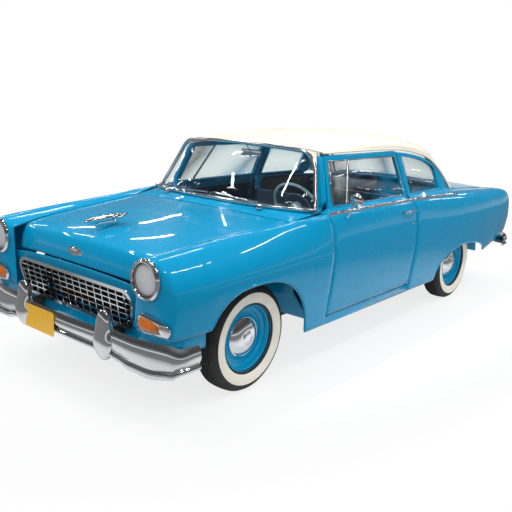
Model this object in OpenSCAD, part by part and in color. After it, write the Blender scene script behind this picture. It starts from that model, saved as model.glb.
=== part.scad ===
// Full-size two-door sedan of the mid 1950s, in millimetres.
// +X points forward, +Y to the car's left and +Z up; the origin is on the ground under the middle of the car.

/* [Overall] */
// Length over the bumpers
length = 4968; // [4800:1:5200]
// Distance between the axles
wheelbase = 2921; // [2860:1:2980]
// Front axle to the front of the bumper guards
front_overhang = 825; // [800:1:860]
// Distance between the front wheel centres
front_track = 1473; // [1460:1:1490]
// Distance between the rear wheel centres
rear_track = 1494; // [1480:1:1510]
// Height of the roof's highest point
roof_height = 1537; // [1520:1:1580]

/* [Wheels] */
// Outside diameter of the tyre
tyre_diameter = 684; // [660:1:690]
// Width of the tyre
tyre_width = 175; // [160:1:180]
// Diameter at the rim's flange
rim_diameter = 424; // [410:1:440]
// Diameter of the hubcap
hubcap_diameter = 258; // [230:1:280]
// Kingpin inboard of the wheel's centre plane
kingpin_inset = 95; // [90:1:105]

/* [Body] */
// Thickness of a single sheet panel with its flanges
panel_t = 14; // [10:1:18]
// Thickness of a whole door
door_t = 70; // [60:1:80]
// Gap between neighbouring panels
panel_gap = 7; // [6:0.5:9]
// Length of the door at its lower edge
door_length = 1200; // [1150:1:1240]
// Door's front edge behind the front axle
door_setback = 712; // [690:1:730]
// Height of the door's lower edge
door_bottom_z = 342; // [330:1:355]
// Height of the rocker's lower edge
rocker_z = 277; // [265:1:290]
// Headlamp plane ahead of the front axle
lamp_reach = 715; // [690:1:730]
// Rear guards' faces behind the tail of the rear fenders
tail_set = 92; // [80:1:110]
// Height of the front wheel arch
front_arch_z = 722; // [710:1:740]
// Height of the rear wheel arch
rear_arch_z = 540; // [520:1:560]

/* [Greenhouse] */
// Height of the belt line under the side windows
belt_z = 1040; // [1030:1:1050]
// Rise of the roof over the drip rail
roof_rise = 115; // [105:1:125]
// Half width of the cabin at the belt
belt_half = 808; // [800:1:815]
// Half width of the cabin at the drip rail
drip_half = 655; // [640:1:670]
// Thickness of the window frames
frame_t = 28; // [24:1:34]
// Thickness of the glass
glass_t = 6; // [5:0.5:8]

/* [Front] */
// Diameter of a headlamp lens
headlamp_diameter = 178; // [170:1:184]
// Height of the headlamps
headlamp_z = 834; // [825:1:842]
// Distance of a headlamp from the middle
headlamp_y = 714; // [708:1:720]
// Height of the parking lamps
parking_z = 592; // [585:1:600]
// Half width of the grille opening
grille_half = 545; // [520:1:560]
// Height of the grille's lower edge
grille_z0 = 508; // [500:1:520]
// Height of the grille's upper edge
grille_z1 = 716; // [705:1:722]
// Upright bars in the grille
grille_uprights = 15; // [9:2:21]
// Level bars in the grille
grille_levels = 5; // [3:1:7]
// Width of a grille bar
grille_bar = 7; // [5:0.5:9]

/* [Cabin] */
// Diameter of the steering wheel
steering_diameter = 430; // [400:1:450]
// Distance of the steering wheel from the middle
steering_y = 362; // [340:1:380]
// Rake of the steering column in degrees
steering_rake = 28; // [25:1:32]

/* [Hidden] */
$fn = 48;

BLUE = [0.0, 0.45, 0.62];
IVORY = [0.90, 0.87, 0.76];
CHROME = [0.78, 0.79, 0.80];
STEEL = [0.35, 0.36, 0.38];
BLACK = [0.08, 0.08, 0.09];
NAVY = [0.06, 0.16, 0.28];
GLASS = [0.70, 0.82, 0.86, 0.4];

// Clearance between pieces that are fixed together
fit = 0.3;
drip_z = roof_height - roof_rise;
front_axle_x = length/2 - front_overhang;
rear_axle_x = front_axle_x - wheelbase;
wheel_z = tyre_diameter/2;
lamp_x = front_axle_x + lamp_reach;
door_front_x = front_axle_x - door_setback;
door_rear_x = door_front_x - door_length;
tail_x = tail_set - length/2;
tail_reach = rear_axle_x - tail_x;
hood_setback = 430;
hood_rear_x = front_axle_x - hood_setback;
nose_break_x = lamp_x - 110;
deck_setback = 290;
deck_front_x = rear_axle_x - deck_setback;
tail_break_x = tail_x + 130;

// Crease over the rear wheel, outside the wheel's centre plane
crease_out = 190;
rear_side = rear_track/2 + crease_out;
// Half sections of the lower body from nose to tail, with the names of their columns
X = 0; SILL = 1; WAIST = 3; CREASE = 5; CROWN = 7; SEAM = 9; TOP = 11;
SECTIONS = [
    // x, sill y z, waist y z, crease y z, crown y z, seam y z, top z
    [lamp_x, 866, 460, 893, 640, 897, 822, 742, 962, 602, 902, 918],
    [lamp_x - 230, 880, 420, 912, 620, 922, 824, 766, 976, 640, 938, 960],
    [front_axle_x, 886, 300, 916, 600, 930, 828, 792, 996, 692, 974, 1002],
    [hood_rear_x, 884, rocker_z, 916, 590, 930, 832, 830, 1016, 748, 1004, 1030],
    [door_front_x, 882, rocker_z, 915, 580, 930, 834, 874, 1018, 818, belt_z, belt_z],
    [door_front_x - door_length/2, 880, rocker_z, 914, 580, 926, 830, 878, 1016, 820, belt_z, belt_z],
    [door_rear_x, 880, rocker_z, 914, 580, 924, 826, 876, 1012, 816, belt_z - 2, belt_z],
    [rear_axle_x + 480, rear_side - 53, rocker_z, rear_side - 19, 580, rear_side - 7, 815, 872, 994,
        792, belt_z - 8, belt_z - 4],
    [rear_axle_x, rear_side - 47, 300, rear_side - 13, 580, rear_side, 802, 868, 988, 706, 1012, 1032],
    [lerp(rear_axle_x, tail_x, 0.425), rear_side - 51, 360, rear_side - 15, 580, rear_side - 3, 800, 862, 974,
        668, 986, 1004],
    [tail_break_x, 868, 440, 900, 600, 910, 792, 842, 952, 640, 952, 966],
    [tail_x, 852, 470, 880, 620, 888, 790, 832, 938, 630, 932, 944]];

function lerp(a, b, t) = a + (b - a)*t;
function mean(a, b) = (a + b)/2;
function unit(v) = v/norm(v);
function mirrored(p) = [p.x, -p.y, p.z];
function opposite(p) = [-p.x, p.y];
function cubic(a, b, c, d, t) = b + t*(c - a)/2 + t*t*(a - 2.5*b + 2*c - d/2)
    + t*t*t*(1.5*(b - c) + (d - a)/2);
function along(points, u) =
    let (n = len(points) - 1, i = min(floor(u), n - 1))
    cubic(points[max(i - 1, 0)], points[i], points[i + 1], points[min(i + 2, n)], u - i);

// Cubic between the stations of a table whose first column is x, falling
function bay(table, x, i = 0) = i >= len(table) - 2 || x >= table[i + 1][X] ? i : bay(table, x, i + 1);
function slope(table, i) =
    let (a = table[max(i - 1, 0)], b = table[min(i + 1, len(table) - 1)]) (b - a)/(b[X] - a[X]);
function station(table, x) =
    let (i = bay(table, x), a = table[i], b = table[i + 1], h = b[X] - a[X], t = (x - a[X])/h)
    a*(1 + 2*t)*(1 - t)*(1 - t) + slope(table, i)*h*t*(1 - t)*(1 - t)
    + b*t*t*(3 - 2*t) + slope(table, i + 1)*h*t*t*(t - 1);
function section(x) = station(SECTIONS, x);

// Point on the left body side: u runs 0 sill, 1 waist, 2 crease, 3 crown, 4 seam
SEAM_U = 4;
function skin(x, u) =
    let (s = section(x))
    along([for (k = [SILL:2:SEAM]) [x, s[k], s[k + 1]]], u);
function u_at(x, z, low = 0, high = 3, turns = 14) =
    let (m = mean(low, high))
    turns == 0 ? m : skin(x, m).z < z ? u_at(x, z, m, high, turns - 1) : u_at(x, z, low, m, turns - 1);

// Closed shell between an outer and an inner grid of points; keep(i, j) says which cells are there.
// A wrapped grid closes on itself along j.
function cell(i, j, rows, cols, wrap) =
    let (k = wrap ? (j + 1)%cols : j + 1) [i*cols + j, i*cols + k, (i + 1)*cols + k, (i + 1)*cols + j];
module shell(outer, inner, keep = function (i, j) true, wrap = false) {
    rows = len(outer);
    cols = len(outer[0]);
    count = rows*cols;
    last_j = wrap ? cols - 1 : cols - 2;
    there = function (i, j)
        let (k = wrap ? (j + cols)%cols : j)
        i >= 0 && i <= rows - 2 && k >= 0 && k <= last_j && keep(i, k);
    beside = [[0, -1], [1, 0], [0, 1], [-1, 0]];
    edges = [[3, 0], [2, 3], [1, 2], [0, 1]];
    faces = [for (i = [0:rows - 2], j = [0:last_j]) if (keep(i, j))
        let (c = cell(i, j, rows, cols, wrap))
        each concat(
            [[c[0], c[1], c[2]], [c[0], c[2], c[3]]],
            [[for (v = [c[2], c[1], c[0]]) v + count], [for (v = [c[3], c[2], c[0]]) v + count]],
            [for (e = [0:3]) if (!there(i + beside[e][0], j + beside[e][1]))
                let (a = c[edges[e][0]], b = c[edges[e][1]])
                each [[b, a, a + count], [b, a + count, b + count]]])];
    // A grid wound the other way has its faces turned over
    outward = (outer[0][0] - inner[0][0])*cross(outer[1][0] - outer[0][0], outer[0][1] - outer[0][0]) > 0;
    polyhedron(points = concat([for (r = outer) each r], [for (r = inner) each r]),
        faces = outward ? faces : [for (f = faces) [f[2], f[1], f[0]]], convexity = 8);
}
// Grid moved along its own normals; a wrapped grid may have its first rows open, with an edge at one column
function thickened(grid, t, wrap = false, open = 0, edge = 0) =
    let (m = len(grid) - 1, n = len(grid[0]))
    [for (i = [0:m]) [for (j = [0:n - 1])
        let (dv = grid[min(i + 1, m)][j] - grid[max(i - 1, 0)][j], closed = wrap && i >= open,
            e = wrap && j <= edge ? edge : n - 1,
            du = closed ? grid[i][(j + 1)%n] - grid[i][(j + n - 1)%n]
                : grid[i][min(j + 1, e)] - grid[i][max(j - 1, 0)])
        grid[i][j] + t*unit(cross(dv, du))]];
module both_sides() {
    children();
    mirror([0, 1, 0]) children();
}

// Lower edges of the body sides over the wheels
ARCH_FRONT = 455; ARCH_BACK = 480; REAR_ARCH_HALF = 530;
front_edge_z = 522;
tail_edge_z = 520;
function front_arch(x) =
    let (dx = x - front_axle_x, rise = front_arch_z - rocker_z)
    dx >= 0 ? max(front_edge_z, rocker_z + rise*pow(max(0, 1 - pow(dx/ARCH_FRONT, 4)), 0.4))
        : rocker_z + rise*sqrt(max(0, 1 - pow(dx/ARCH_BACK, 2)));
function rear_arch(x) =
    let (dx = x - rear_axle_x, rim = sqrt(max(0, 1 - pow(dx/REAR_ARCH_HALF, 2))),
        base = dx > 0 ? rocker_z : lerp(rocker_z, tail_edge_z, min(1, -dx/tail_reach)))
    base + (rear_arch_z - base)*rim;

// Body side panel: columns at xs, from its lower edge up to the seam. Past the last column its end closes
// round a lamp of centre (y, z) and half sizes r, standing proud by reach.
SIDE_ROWS = 9; END_ROWS = 6; FOOT_ROWS = 4; NOSE_INSET = 18;
END_RINGS = [[0, 0], [0.3, 0.5], [0.7, 0.85], [1, 1]];
module side_panel(xs, lower, lamp, reach) {
    x_end = xs[len(xs) - 1];
    u0 = u_at(x_end, lower(x_end));
    foot = skin(x_end, u0);
    head = skin(x_end, SEAM_U);
    inboard = [x_end, head.y - (reach > 0 ? NOSE_INSET : 0), foot.z];
    rim = concat([for (k = [1:END_ROWS]) lerp(head, inboard, k/END_ROWS)],
        [for (k = [1:FOOT_ROWS - 1]) lerp(inboard, foot, k/FOOT_ROWS)]);
    side = function (x)
        let (low = u_at(x, lower(x)))
        [for (j = [0:SIDE_ROWS]) skin(x, lerp(low, SEAM_U, j/SIDE_ROWS))];
    outline = concat(side(x_end), rim);
    ring = function (f, out) [for (p = outline)
        let (a = atan2((p.z - lamp[1])/lamp[3], (p.y - lamp[0])/lamp[2]))
        lerp(p, [x_end, lamp[0] + lamp[2]*cos(a), lamp[1] + lamp[3]*sin(a)], f) + [out*reach, 0, 0]];
    grid = concat([for (k = [0:len(xs) - 2]) concat(side(xs[k]), [for (p = rim) [xs[k], p.y, p.z]])],
        [for (r = END_RINGS) ring(r[0], r[1])]);
    inward = reach > 0 ? panel_t : -panel_t;
    ends = len(xs) - 1;
    behind = thickened(grid, inward, true, ends, SIDE_ROWS);
    inner = [for (i = [0:len(grid) - 1]) i <= ends ? behind[i] : [for (p = grid[i]) p - [inward, 0, 0]]];
    shell(grid, inner, function (i, j) i >= ends || j < SIDE_ROWS, true);
}

function arch_columns(axle, ahead, behind) = [for (a = [0:15:180]) axle + (a < 90 ? ahead : behind)*cos(a)];
fender_columns = concat([door_front_x + panel_gap, mean(door_front_x, front_axle_x - ARCH_BACK)],
    [for (k = [12:-1:0]) arch_columns(front_axle_x, ARCH_FRONT, ARCH_BACK)[k]],
    [lamp_x - 160, lamp_x - 60, lamp_x]);
headlamp_hole = headlamp_diameter/2 + 18;
module fender() {
    side_panel(fender_columns, function (x) front_arch(x),
        [headlamp_y, headlamp_z, headlamp_hole, headlamp_hole], 32);
}
module fender_left() { color(BLUE) fender(); }
module fender_right() { color(BLUE) mirror([0, 1, 0]) fender(); }

tail_lamp_y = 775;
tail_lamp_z = 800;
TAIL_HALF = [54, 92];
quarter_columns = concat([door_rear_x - panel_gap, mean(door_rear_x, rear_axle_x + REAR_ARCH_HALF)],
    arch_columns(rear_axle_x, REAR_ARCH_HALF, REAR_ARCH_HALF),
    [mean(rear_axle_x - REAR_ARCH_HALF, tail_x), lerp(rear_axle_x - REAR_ARCH_HALF, tail_x, 0.8), tail_x]);
module quarter() {
    side_panel(quarter_columns, function (x) rear_arch(x),
        [tail_lamp_y, tail_lamp_z, TAIL_HALF[0], TAIL_HALF[1]], -30);
}
module quarter_left() { color(BLUE) quarter(); }
module quarter_right() { color(BLUE) mirror([0, 1, 0]) quarter(); }

// Crowned lids between the two seams: w runs across from -1 to 1, s from the hinge to the rolled edge
LID_COLS = 12; LID_ROWS = 13; LID_FLAT = 0.7;
function crowned(s, w) = s[TOP] - (s[TOP] - s[SEAM + 1])*pow(abs(w), 2.4);
function lid_point(s, w, hinge_x, break_x, reach, drop, sweep, limit_x) =
    let (run = min(s/LID_FLAT, 1), roll = 90*max(0, (s - LID_FLAT)/(1 - LID_FLAT)),
        flat_x = lerp(hinge_x, break_x, run), form = section(flat_x),
        x = flat_x + reach*sin(roll) - sweep*w*w*run*run,
        y = section(reach > 0 ? min(x, limit_x) : max(x, limit_x))[SEAM] - panel_gap)
    [x, w*y, crowned(form, w) - drop*(1 - cos(roll))];
module lid(hinge, break_x, reach, drop, sweep, limit_x) {
    grid = [for (i = [0:LID_ROWS]) [for (j = [0:LID_COLS])
        let (w = 2*j/LID_COLS - 1)
        lid_point(i/LID_ROWS, w, hinge(w), break_x, reach, drop, sweep, limit_x)]];
    shell(grid, thickened(grid, reach > 0 ? -panel_t : panel_t));
}
HOOD_SWEEP = 60;
NOSE_REACH = 84; NOSE_DROP = 160; NOSE_SWEEP = 18;
function hood_edge(w) = hood_rear_x + HOOD_SWEEP*(1 - w*w);
module hood() {
    color(BLUE) lid(function (w) hood_edge(w), nose_break_x, NOSE_REACH, NOSE_DROP, NOSE_SWEEP, lamp_x);
}
LID_REACH = 118; LID_DROP = 318;
module trunk_lid() {
    color(BLUE) lid(function (w) deck_front_x, tail_break_x, -LID_REACH, LID_DROP, -20, tail_x);
}

// Flat leaning side of the cabin above the belt
SIDE_BOW = 34;
cabin_mid_x = -100;
function side_y(x, z) =
    lerp(belt_half, drip_half, (z - belt_z)/(drip_z - belt_z)) - SIDE_BOW*pow((x - cabin_mid_x)/1000, 2);
function on_side(x, z) = [x, side_y(x, z), z];

// Windshield and rear window edges: a runs from -90 to 90 degrees across the car
post_x = door_front_x - 108;
header_x = post_x - 100;
header_z = drip_z - 4;
function sheer(a, e) = pow(max(0, cos(a)), e);
base_bow = 350;
header_bow = 104;
header_rise = 44;
glass_inset = 6;
function shield_base(a) =
    [post_x + base_bow*sheer(a, 0.62), (side_y(post_x, belt_z) - glass_inset)*sin(a),
        belt_z + 14*sheer(a, 1)];
function shield_top(a) =
    [header_x + 14 + header_bow*sheer(a, 0.5), (side_y(header_x, header_z) - glass_inset)*sin(a),
        header_z + header_rise*sheer(a, 0.8)];
rear_base_x = rear_axle_x - 40;
rear_base_half = 610;
rear_bow = 150;
function back_base(a) =
    [rear_base_x - rear_bow*sheer(a, 0.8), rear_base_half*sin(a), belt_z - 14 + 18*sheer(a, 1)];

// Drip rail down to the belt, and the roof's centre line over the same stations
function window_line(f) = lerp(belt_z, drip_z, f);
DRIP = [[header_x, header_z], [cabin_mid_x + 150, drip_z], [rear_axle_x + 850, window_line(0.948)],
    [rear_axle_x + 470, window_line(0.759)], [rear_axle_x + 270, window_line(0.437)],
    [rear_axle_x + 140, belt_z + 6]];
crown_rise = 8;
CENTRE = [[header_x + 14 + header_bow, header_z + header_rise], [cabin_mid_x + 150, roof_height - crown_rise],
    [rear_axle_x + 820, roof_height - crown_rise - 4], [rear_axle_x + 190, roof_height - 92]];
ROOF_T = 3;
function drip(t) = let (p = along(DRIP, t)) on_side(p.x, p.y);
function roof_point(t, a) =
    let (e = drip(t), c = along(CENTRE, t))
    [lerp(e.x, c.x, sin(a)), e.y*cos(a), e.z + (c.y - e.z)*pow(sin(a), 0.7)];
PILLAR_A = 42;
function pillar_point(t, f) =
    let (g = (t - ROOF_T)/(len(DRIP) - 1 - ROOF_T), side = drip(t),
        back = lerp(roof_point(ROOF_T, PILLAR_A), back_base(90) + [0, 6, 0], g))
    lerp(side, back, f) + 4*f*(1 - f)*(30 + 22*g)*[-0.7, 0.7, 0];
ROOF_ROWS = 12; PILLAR_ROWS = 6;
ROOF_ANGLES = concat([for (k = [0:5]) PILLAR_A*k/5], [for (k = [1:4]) lerp(PILLAR_A, 90, k/4)]);
roof_half = len(ROOF_ANGLES) - 1;
function across(half) = concat(half, [for (k = [len(half) - 2:-1:0]) mirrored(half[k])]);
roof_grid = concat(
    [for (i = [0:ROOF_ROWS]) across([for (a = ROOF_ANGLES) roof_point(ROOF_T*i/ROOF_ROWS, a)])],
    [for (i = [1:PILLAR_ROWS])
        let (t = lerp(ROOF_T, len(DRIP) - 1, i/PILLAR_ROWS))
        across([for (k = [0:roof_half]) pillar_point(t, min(1, k/5) + max(0, k - 5)*0.1)])]);
// The roof stands on the windshield posts in front and on the deck behind
roof_foot_y = side_y(header_x, header_z) - 42;
module roof() {
    color(IVORY) {
        shell(roof_grid, thickened(roof_grid, -panel_t),
            function (i, j) i < ROOF_ROWS || j < 5 || j >= 2*roof_half - 5);
        both_sides() {
            translate([header_x + 4, roof_foot_y, post_top_z + fit])
                cube([28, 26, header_z + 12 - post_top_z]);
            translate(back_base(90) + [2, -6, 1.5]) cube([14, 14, 30]);
        }
    }
}

// Pane of glass between two edge curves, set in from them by the frame's lap
PANE_COLS = 14; PANE_ROWS = 4;
module pane(low, high, a_max, lift, bulge, toward) {
    grid = [for (i = [0:PANE_ROWS]) [for (j = [0:PANE_COLS])
        let (a = lerp(-a_max, a_max, j/PANE_COLS), v = lerp(lift, 0.95, i/PANE_ROWS))
        lerp(low(a), high(a), v) + 4*v*(1 - v)*[bulge, 0, 0]]];
    shell(grid, thickened(grid, toward*glass_t));
}
module windshield() {
    color(GLASS) pane(function (a) shield_base(a), function (a) shield_top(a), 80, 0.0075, 14, 1);
}
module rear_window() {
    high = function (a)
        let (p = roof_point(ROOF_T, lerp(PILLAR_A, 90, 1 - abs(a)/90))) a < 0 ? mirrored(p) : p;
    color(GLASS) pane(function (a) back_base(a), high, 84, 0.0115, -26, -1);
}

// Door: rows from its lower edge to the seam at the belt, then the window frame on the cabin's flat side
FRAME_W = 34;
window_z0 = belt_z + 26;
window_z1 = drip_z - 58;
frame_z1 = drip_z - 22;
frame_gap = 13;
DOOR_ROWS = 8;
FRAME_Z = [belt_z + 10, window_z0, mean(window_z0, window_z1), window_z1, frame_z1];
function post_line(z) = lerp(post_x, header_x, (z - belt_z)/(header_z - belt_z)) - panel_gap;
door_columns = [for (k = [0:8]) k/8];
function door_row(j) = [for (c = door_columns)
    let (x = lerp(door_front_x, door_rear_x, c), low = u_at(x, door_bottom_z))
    skin(x, lerp(low, SEAM_U, j/DOOR_ROWS))];
function frame_row(z) =
    let (x0 = post_line(z) - 6, x1 = door_rear_x + frame_gap, n = len(door_columns) - 1,
        xs = concat([x0], [for (k = [0:n - 2]) lerp(x0 - FRAME_W, x1 + FRAME_W, k/(n - 2))], [x1]))
    [for (x = xs) on_side(x, z)];
door_outer = concat([for (j = [0:DOOR_ROWS]) door_row(j)], [for (z = FRAME_Z) frame_row(z)]);
function door_depth(i) =
    i < DOOR_ROWS - 1 ? door_t : i == DOOR_ROWS - 1 ? door_t*0.8 : i == DOOR_ROWS ? door_t*0.55 : frame_t;
DOOR_TAPER = 14;
door_inner = [for (i = [0:len(door_outer) - 1])
    let (n = len(door_columns) - 1, lower = i <= DOOR_ROWS)
    [for (j = [0:n]) door_outer[i][j] - [lower && j == n ? -DOOR_TAPER : 0, door_depth(i), 0]]];
module door() {
    shell(door_outer, door_inner,
        function (i, j) i < DOOR_ROWS + 2 || i > DOOR_ROWS + 3 || j == 0 || j == len(door_columns) - 2);
}
module door_left() { color(BLUE) door(); }
module door_right() { color(BLUE) mirror([0, 1, 0]) door(); }

// Flat glass on the cabin's side between corner points, sunk to the middle of the frame
module side_glass(corners) {
    mid = len(corners)/2;
    low = [for (k = [0:mid - 1]) corners[k]];
    high = [for (k = [0:mid - 1]) corners[len(corners) - 1 - k]];
    set = frame_t/2 - glass_t/2;
    grid = [for (f = [0, 0.5, 1]) [for (k = [0:mid - 1])
        let (p = lerp(low[k], high[k], f)) on_side(p.x, p.y) - [0, set, 0]]];
    shell(grid, [for (r = grid) [for (p = r) p - [0, glass_t, 0]]]);
}
door_pane = let (f = FRAME_W + fit + 6, b = window_z0 + fit, t = window_z1 - fit,
        x1 = door_rear_x + frame_gap + FRAME_W + fit)
    [[post_line(b) - f, b], [mean(post_line(b), x1), b], [x1, b], [x1, t], [mean(post_line(t), x1), t],
        [post_line(t) - f, t]];
module door_glass_left() { color(GLASS) side_glass(door_pane); }
module door_glass_right() { color(GLASS) mirror([0, 1, 0]) side_glass(door_pane); }

// B-post with the frame round the quarter window, under the drip rail
post_w = 62;
quarter_tip_x = rear_axle_x + 395;
QW_COLS = 9;
function quarter_top(x) =
    let (t = drip_at(x)) along(DRIP, t).y - 24;
function drip_at(x, low = 0, high = 5, turns = 14) =
    let (m = mean(low, high))
    turns == 0 ? m : along(DRIP, m).x > x ? drip_at(x, m, high, turns - 1) : drip_at(x, low, m, turns - 1);
quarter_front_x = door_rear_x - fit - 2;
quarter_end_x = rear_axle_x + 205;
function quarter_row(k) =
    let (xs = concat([quarter_front_x], [for (c = [0:QW_COLS - 2])
        lerp(quarter_front_x - post_w, quarter_tip_x - 20, c/(QW_COLS - 2))], [quarter_end_x]))
    [for (x = xs)
        let (top = quarter_top(x), b = belt_z + 10, lo = min(window_z0, top - 8), hi = max(lo + 2, top - 30))
        on_side(x, [b, lo, mean(lo, hi), hi, top][k])];
quarter_frame_grid = [for (k = [0:4]) quarter_row(k)];
module quarter_window_frames() {
    color(BLUE) both_sides()
        shell(quarter_frame_grid, [for (r = quarter_frame_grid) [for (p = r) p - [0, frame_t, 0]]],
            function (i, j) i == 0 || i == 3 || j == 0 || j >= QW_COLS - 1);
}
module quarter_glass() {
    n = QW_COLS - 1;
    corner = function (k, j, up)
        let (p = quarter_frame_grid[k][j]) [p.x + (j == 1 ? -fit : j == n ? fit : 0), p.z + up];
    color(GLASS) both_sides() side_glass(concat(
        [for (j = [1:n]) corner(1, j, fit)], [for (j = [n:-1:1]) corner(3, j, -fit)]));
}

// Cowl from the hood's rear edge to the windshield, with the windshield posts
COWL_COLS = 14;
module cowl() {
    edge = function (a)
        let (w = sin(a)*0.999, x = hood_edge(w) - 1.5*panel_gap, s = section(x))
        [x, w*(s[SEAM] - panel_gap), crowned(s, w)];
    // Rows from the hood to the flat seat under the glass
    across = [for (j = [0:COWL_COLS]) lerp(-88, 88, j/COWL_COLS)];
    seat = function (a, dx) shield_base(a) + [dx, -14*sin(a), -2*fit];
    grid = concat([for (f = [0, 0.4, 0.8]) [for (a = across) lerp(edge(a), seat(a, 16), f)]],
        [for (dx = [16, -8]) [for (a = across) seat(a, dx)]]);
    color(BLUE) {
        shell(grid, thickened(grid, panel_t));
        both_sides() {
            windshield_post();
            translate([post_x + 12, post_foot_y, belt_z - 20]) cube([90, 30, 18]);
            translate([hood_edge(5/6) - 17.6, hood_hinge_y, edge(56).z - 11]) cube([16, hood_hinge_w, 8]);
            translate([firewall_x, cowl_strut_y, firewall_z + fit])
                cube([floor_t, 60, belt_z - 8 - firewall_z]);
        }
    }
}
cowl_strut_y = 270;
hood_hinge_y = 560;
hood_hinge_w = 57;
post_foot_y = 694;
POST_W = 40;
post_top_z = header_z - 24;
module windshield_post() {
    // Heights of the post with how far each is set in to clear the door's ledge
    stations = [[belt_z - 8, 48], [belt_z + 16, 48], [belt_z + 64, 6], [mean(belt_z, header_z), 0],
        [post_top_z, 0]];
    grid = [for (s = stations) [for (k = [0, 1, 2])
        on_side(post_line(s[0]) + panel_gap + POST_W*k/2, s[0]) - [0, k*k*3 + s[1], 0]]];
    shell(grid, [for (r = grid) [for (p = r) p - [0, 40, 0]]]);
}

// Deck between the rear window and the trunk lid, shelf behind the rear seat, and the panel under the lid
module tail_panel() {
    lower_z = section(tail_break_x)[TOP] - LID_DROP - 2*panel_gap;
    s = section(deck_front_x + panel_gap);
    across = [for (j = [0:12]) lerp(-88, 88, j/12)];
    seat = function (a, dx) back_base(a) + [dx, 0, -2*fit];
    edge = function (a) let (w = sin(a)*0.999)
        [deck_front_x + panel_gap, w*(s[SEAM] - panel_gap), crowned(s, w)];
    // Shoulder beside the deck, from under the pillar's foot out to the quarter's seam
    shoulder = [for (x = quarter_columns) if (x < rear_axle_x + 150 && x > deck_front_x)
        let (q = skin(x, SEAM_U) - [0, panel_gap/2, 0]) [q, [x, min(q.y - 8, shoulder_line(x)), q.z]]];
    deck = concat([for (dx = [30, -16]) [for (a = across) seat(a, dx)]],
        [for (f = [0.5, 1]) [for (a = across) lerp(seat(a, -16), edge(a), f)]]);
    color(BLUE) {
        shell(deck, thickened(deck, panel_t));
        both_sides() {
            shell(shoulder, [for (r = shoulder) [for (p = r) p - [0, 0, panel_t]]]);
            translate([deck_front_x + 30, brace_y, trunk_z + fit])
                cube([90, floor_t, s[SEAM + 1] - 2 - trunk_z]);
            translate([deck_front_x + 1.2, lid_hinge_y, edge(40).z - 12]) cube([panel_gap + 12, 60, 9]);
        }
        translate([tail_plate_x, 0, 0]) rotate([90, 0, 0])
            linear_extrude(2*(section(tail_x)[SEAM] - 24), center = true)
                polygon([[0, trunk_z - 18], [panel_t, trunk_z - 18], [panel_t, lower_z], [0, lower_z]]);
    }
}
// Inner edge of the deck's shoulder
function shoulder_line(x) = lookup(-x, [[-rear_axle_x - 140, rear_base_half + 90],
    [-rear_base_x, rear_base_half - 10], [-deck_front_x, rear_base_half + 40]]);
brace_y = 590;
lid_hinge_y = 400;
tail_plate_x = tail_break_x - LID_REACH - 2;

// Tyre and wheel, turned about Y
module turned(x, y, side) {
    translate([x, y, wheel_z]) rotate([side > 0 ? -90 : 90, 0, 0]) rotate_extrude($fn = 96) children();
}
bead_r = rim_diameter/2 - 14;
module tyre_profile() {
    r = tyre_diameter/2;
    h = tyre_width/2;
    half = [[bead_r + fit, h*0.62], [rim_diameter/2 + 4, h*0.80], [bead_r + 52, h*0.97], [bead_r + 84, h],
        [r - 36, h*0.93], [r - 14, h*0.76], [r - 4, h*0.5]];
    polygon(concat([for (p = half) [p.x, -p.y]], [[r, 0]], [for (k = [len(half) - 1:-1:0]) half[k]]));
}
spindle_r = 22;
rim_h = tyre_width*0.38;
// Pressed disc, drop-centre rim and hubcap as one turned section of radius and depth
module wheel_profile() {
    r = rim_diameter/2;
    c = hubcap_diameter/2;
    bore = spindle_r + fit;
    drop = bead_r - 30;
    polygon([[bore, 0], [bore, 10], [c - 59, 10], [c - 33, 16], [c - 17, 22], [c - 3, 19], [c + 11, 12],
        [drop - 2, 8], [drop - 2, 2], [c + 11, 5], [c - 5, 12], [c - 17, 15], [c - 31, 9], [c - 57, 3],
        [c - 69, 0]]);
    rim_line = [[r, rim_h], [r - 8, rim_h - 6], [bead_r, rim_h - 12], [bead_r - 4, 30], [drop, 22]];
    polygon(concat(rim_line, [for (k = [4:-1:0]) [rim_line[k].x, -rim_line[k].y]],
        [for (p = rim_line) [p.x - 5, -p.y - (p.x == r ? 4 : 0)]],
        [for (k = [4:-1:0]) [rim_line[k].x - 5, rim_line[k].y + (k == 0 ? 4 : 0)]]));
    polygon([[0, 52], [0, 63], [c*0.2, 62], [c*0.45, 58], [c*0.7, 48], [c - 12, 30], [c, 24], [c + 2, 18],
        [c - 3, 16], [c - 17, 24], [c*0.68, 41], [c*0.43, 51], [c*0.2, 54]]);
}
module wheel(x, y, side) {
    color(BLUE) turned(x, y, side) wheel_profile();
}
module tyre(x, y, side) {
    color(BLACK) turned(x, y, side) tyre_profile();
}
module wheel_front_left() { wheel(front_axle_x, front_track/2, 1); }
module wheel_front_right() { wheel(front_axle_x, -front_track/2, -1); }
module wheel_rear_left() { wheel(rear_axle_x, rear_track/2, 1); }
module wheel_rear_right() { wheel(rear_axle_x, -rear_track/2, -1); }
module tyre_front_left() { tyre(front_axle_x, front_track/2, 1); }
module tyre_front_right() { tyre(front_axle_x, -front_track/2, -1); }
module tyre_rear_left() { tyre(rear_axle_x, rear_track/2, 1); }
module tyre_rear_right() { tyre(rear_axle_x, -rear_track/2, -1); }

// Round piece turned about X, from a profile of radius and place along X
module turned_x(x, y, z) {
    translate([x, y, z]) rotate([0, 90, 0]) rotate_extrude($fn = 64) children();
}
module rod(a, b, r) {
    d = b - a;
    translate(a) rotate([0, acos(d.z/norm(d)), atan2(d.y, d.x)]) cylinder(h = norm(d), r = r);
}
// Slab with its profile in X and Z, centred across the car
module across_car(width) {
    rotate([90, 0, 0]) linear_extrude(width, center = true) children();
}

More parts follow.
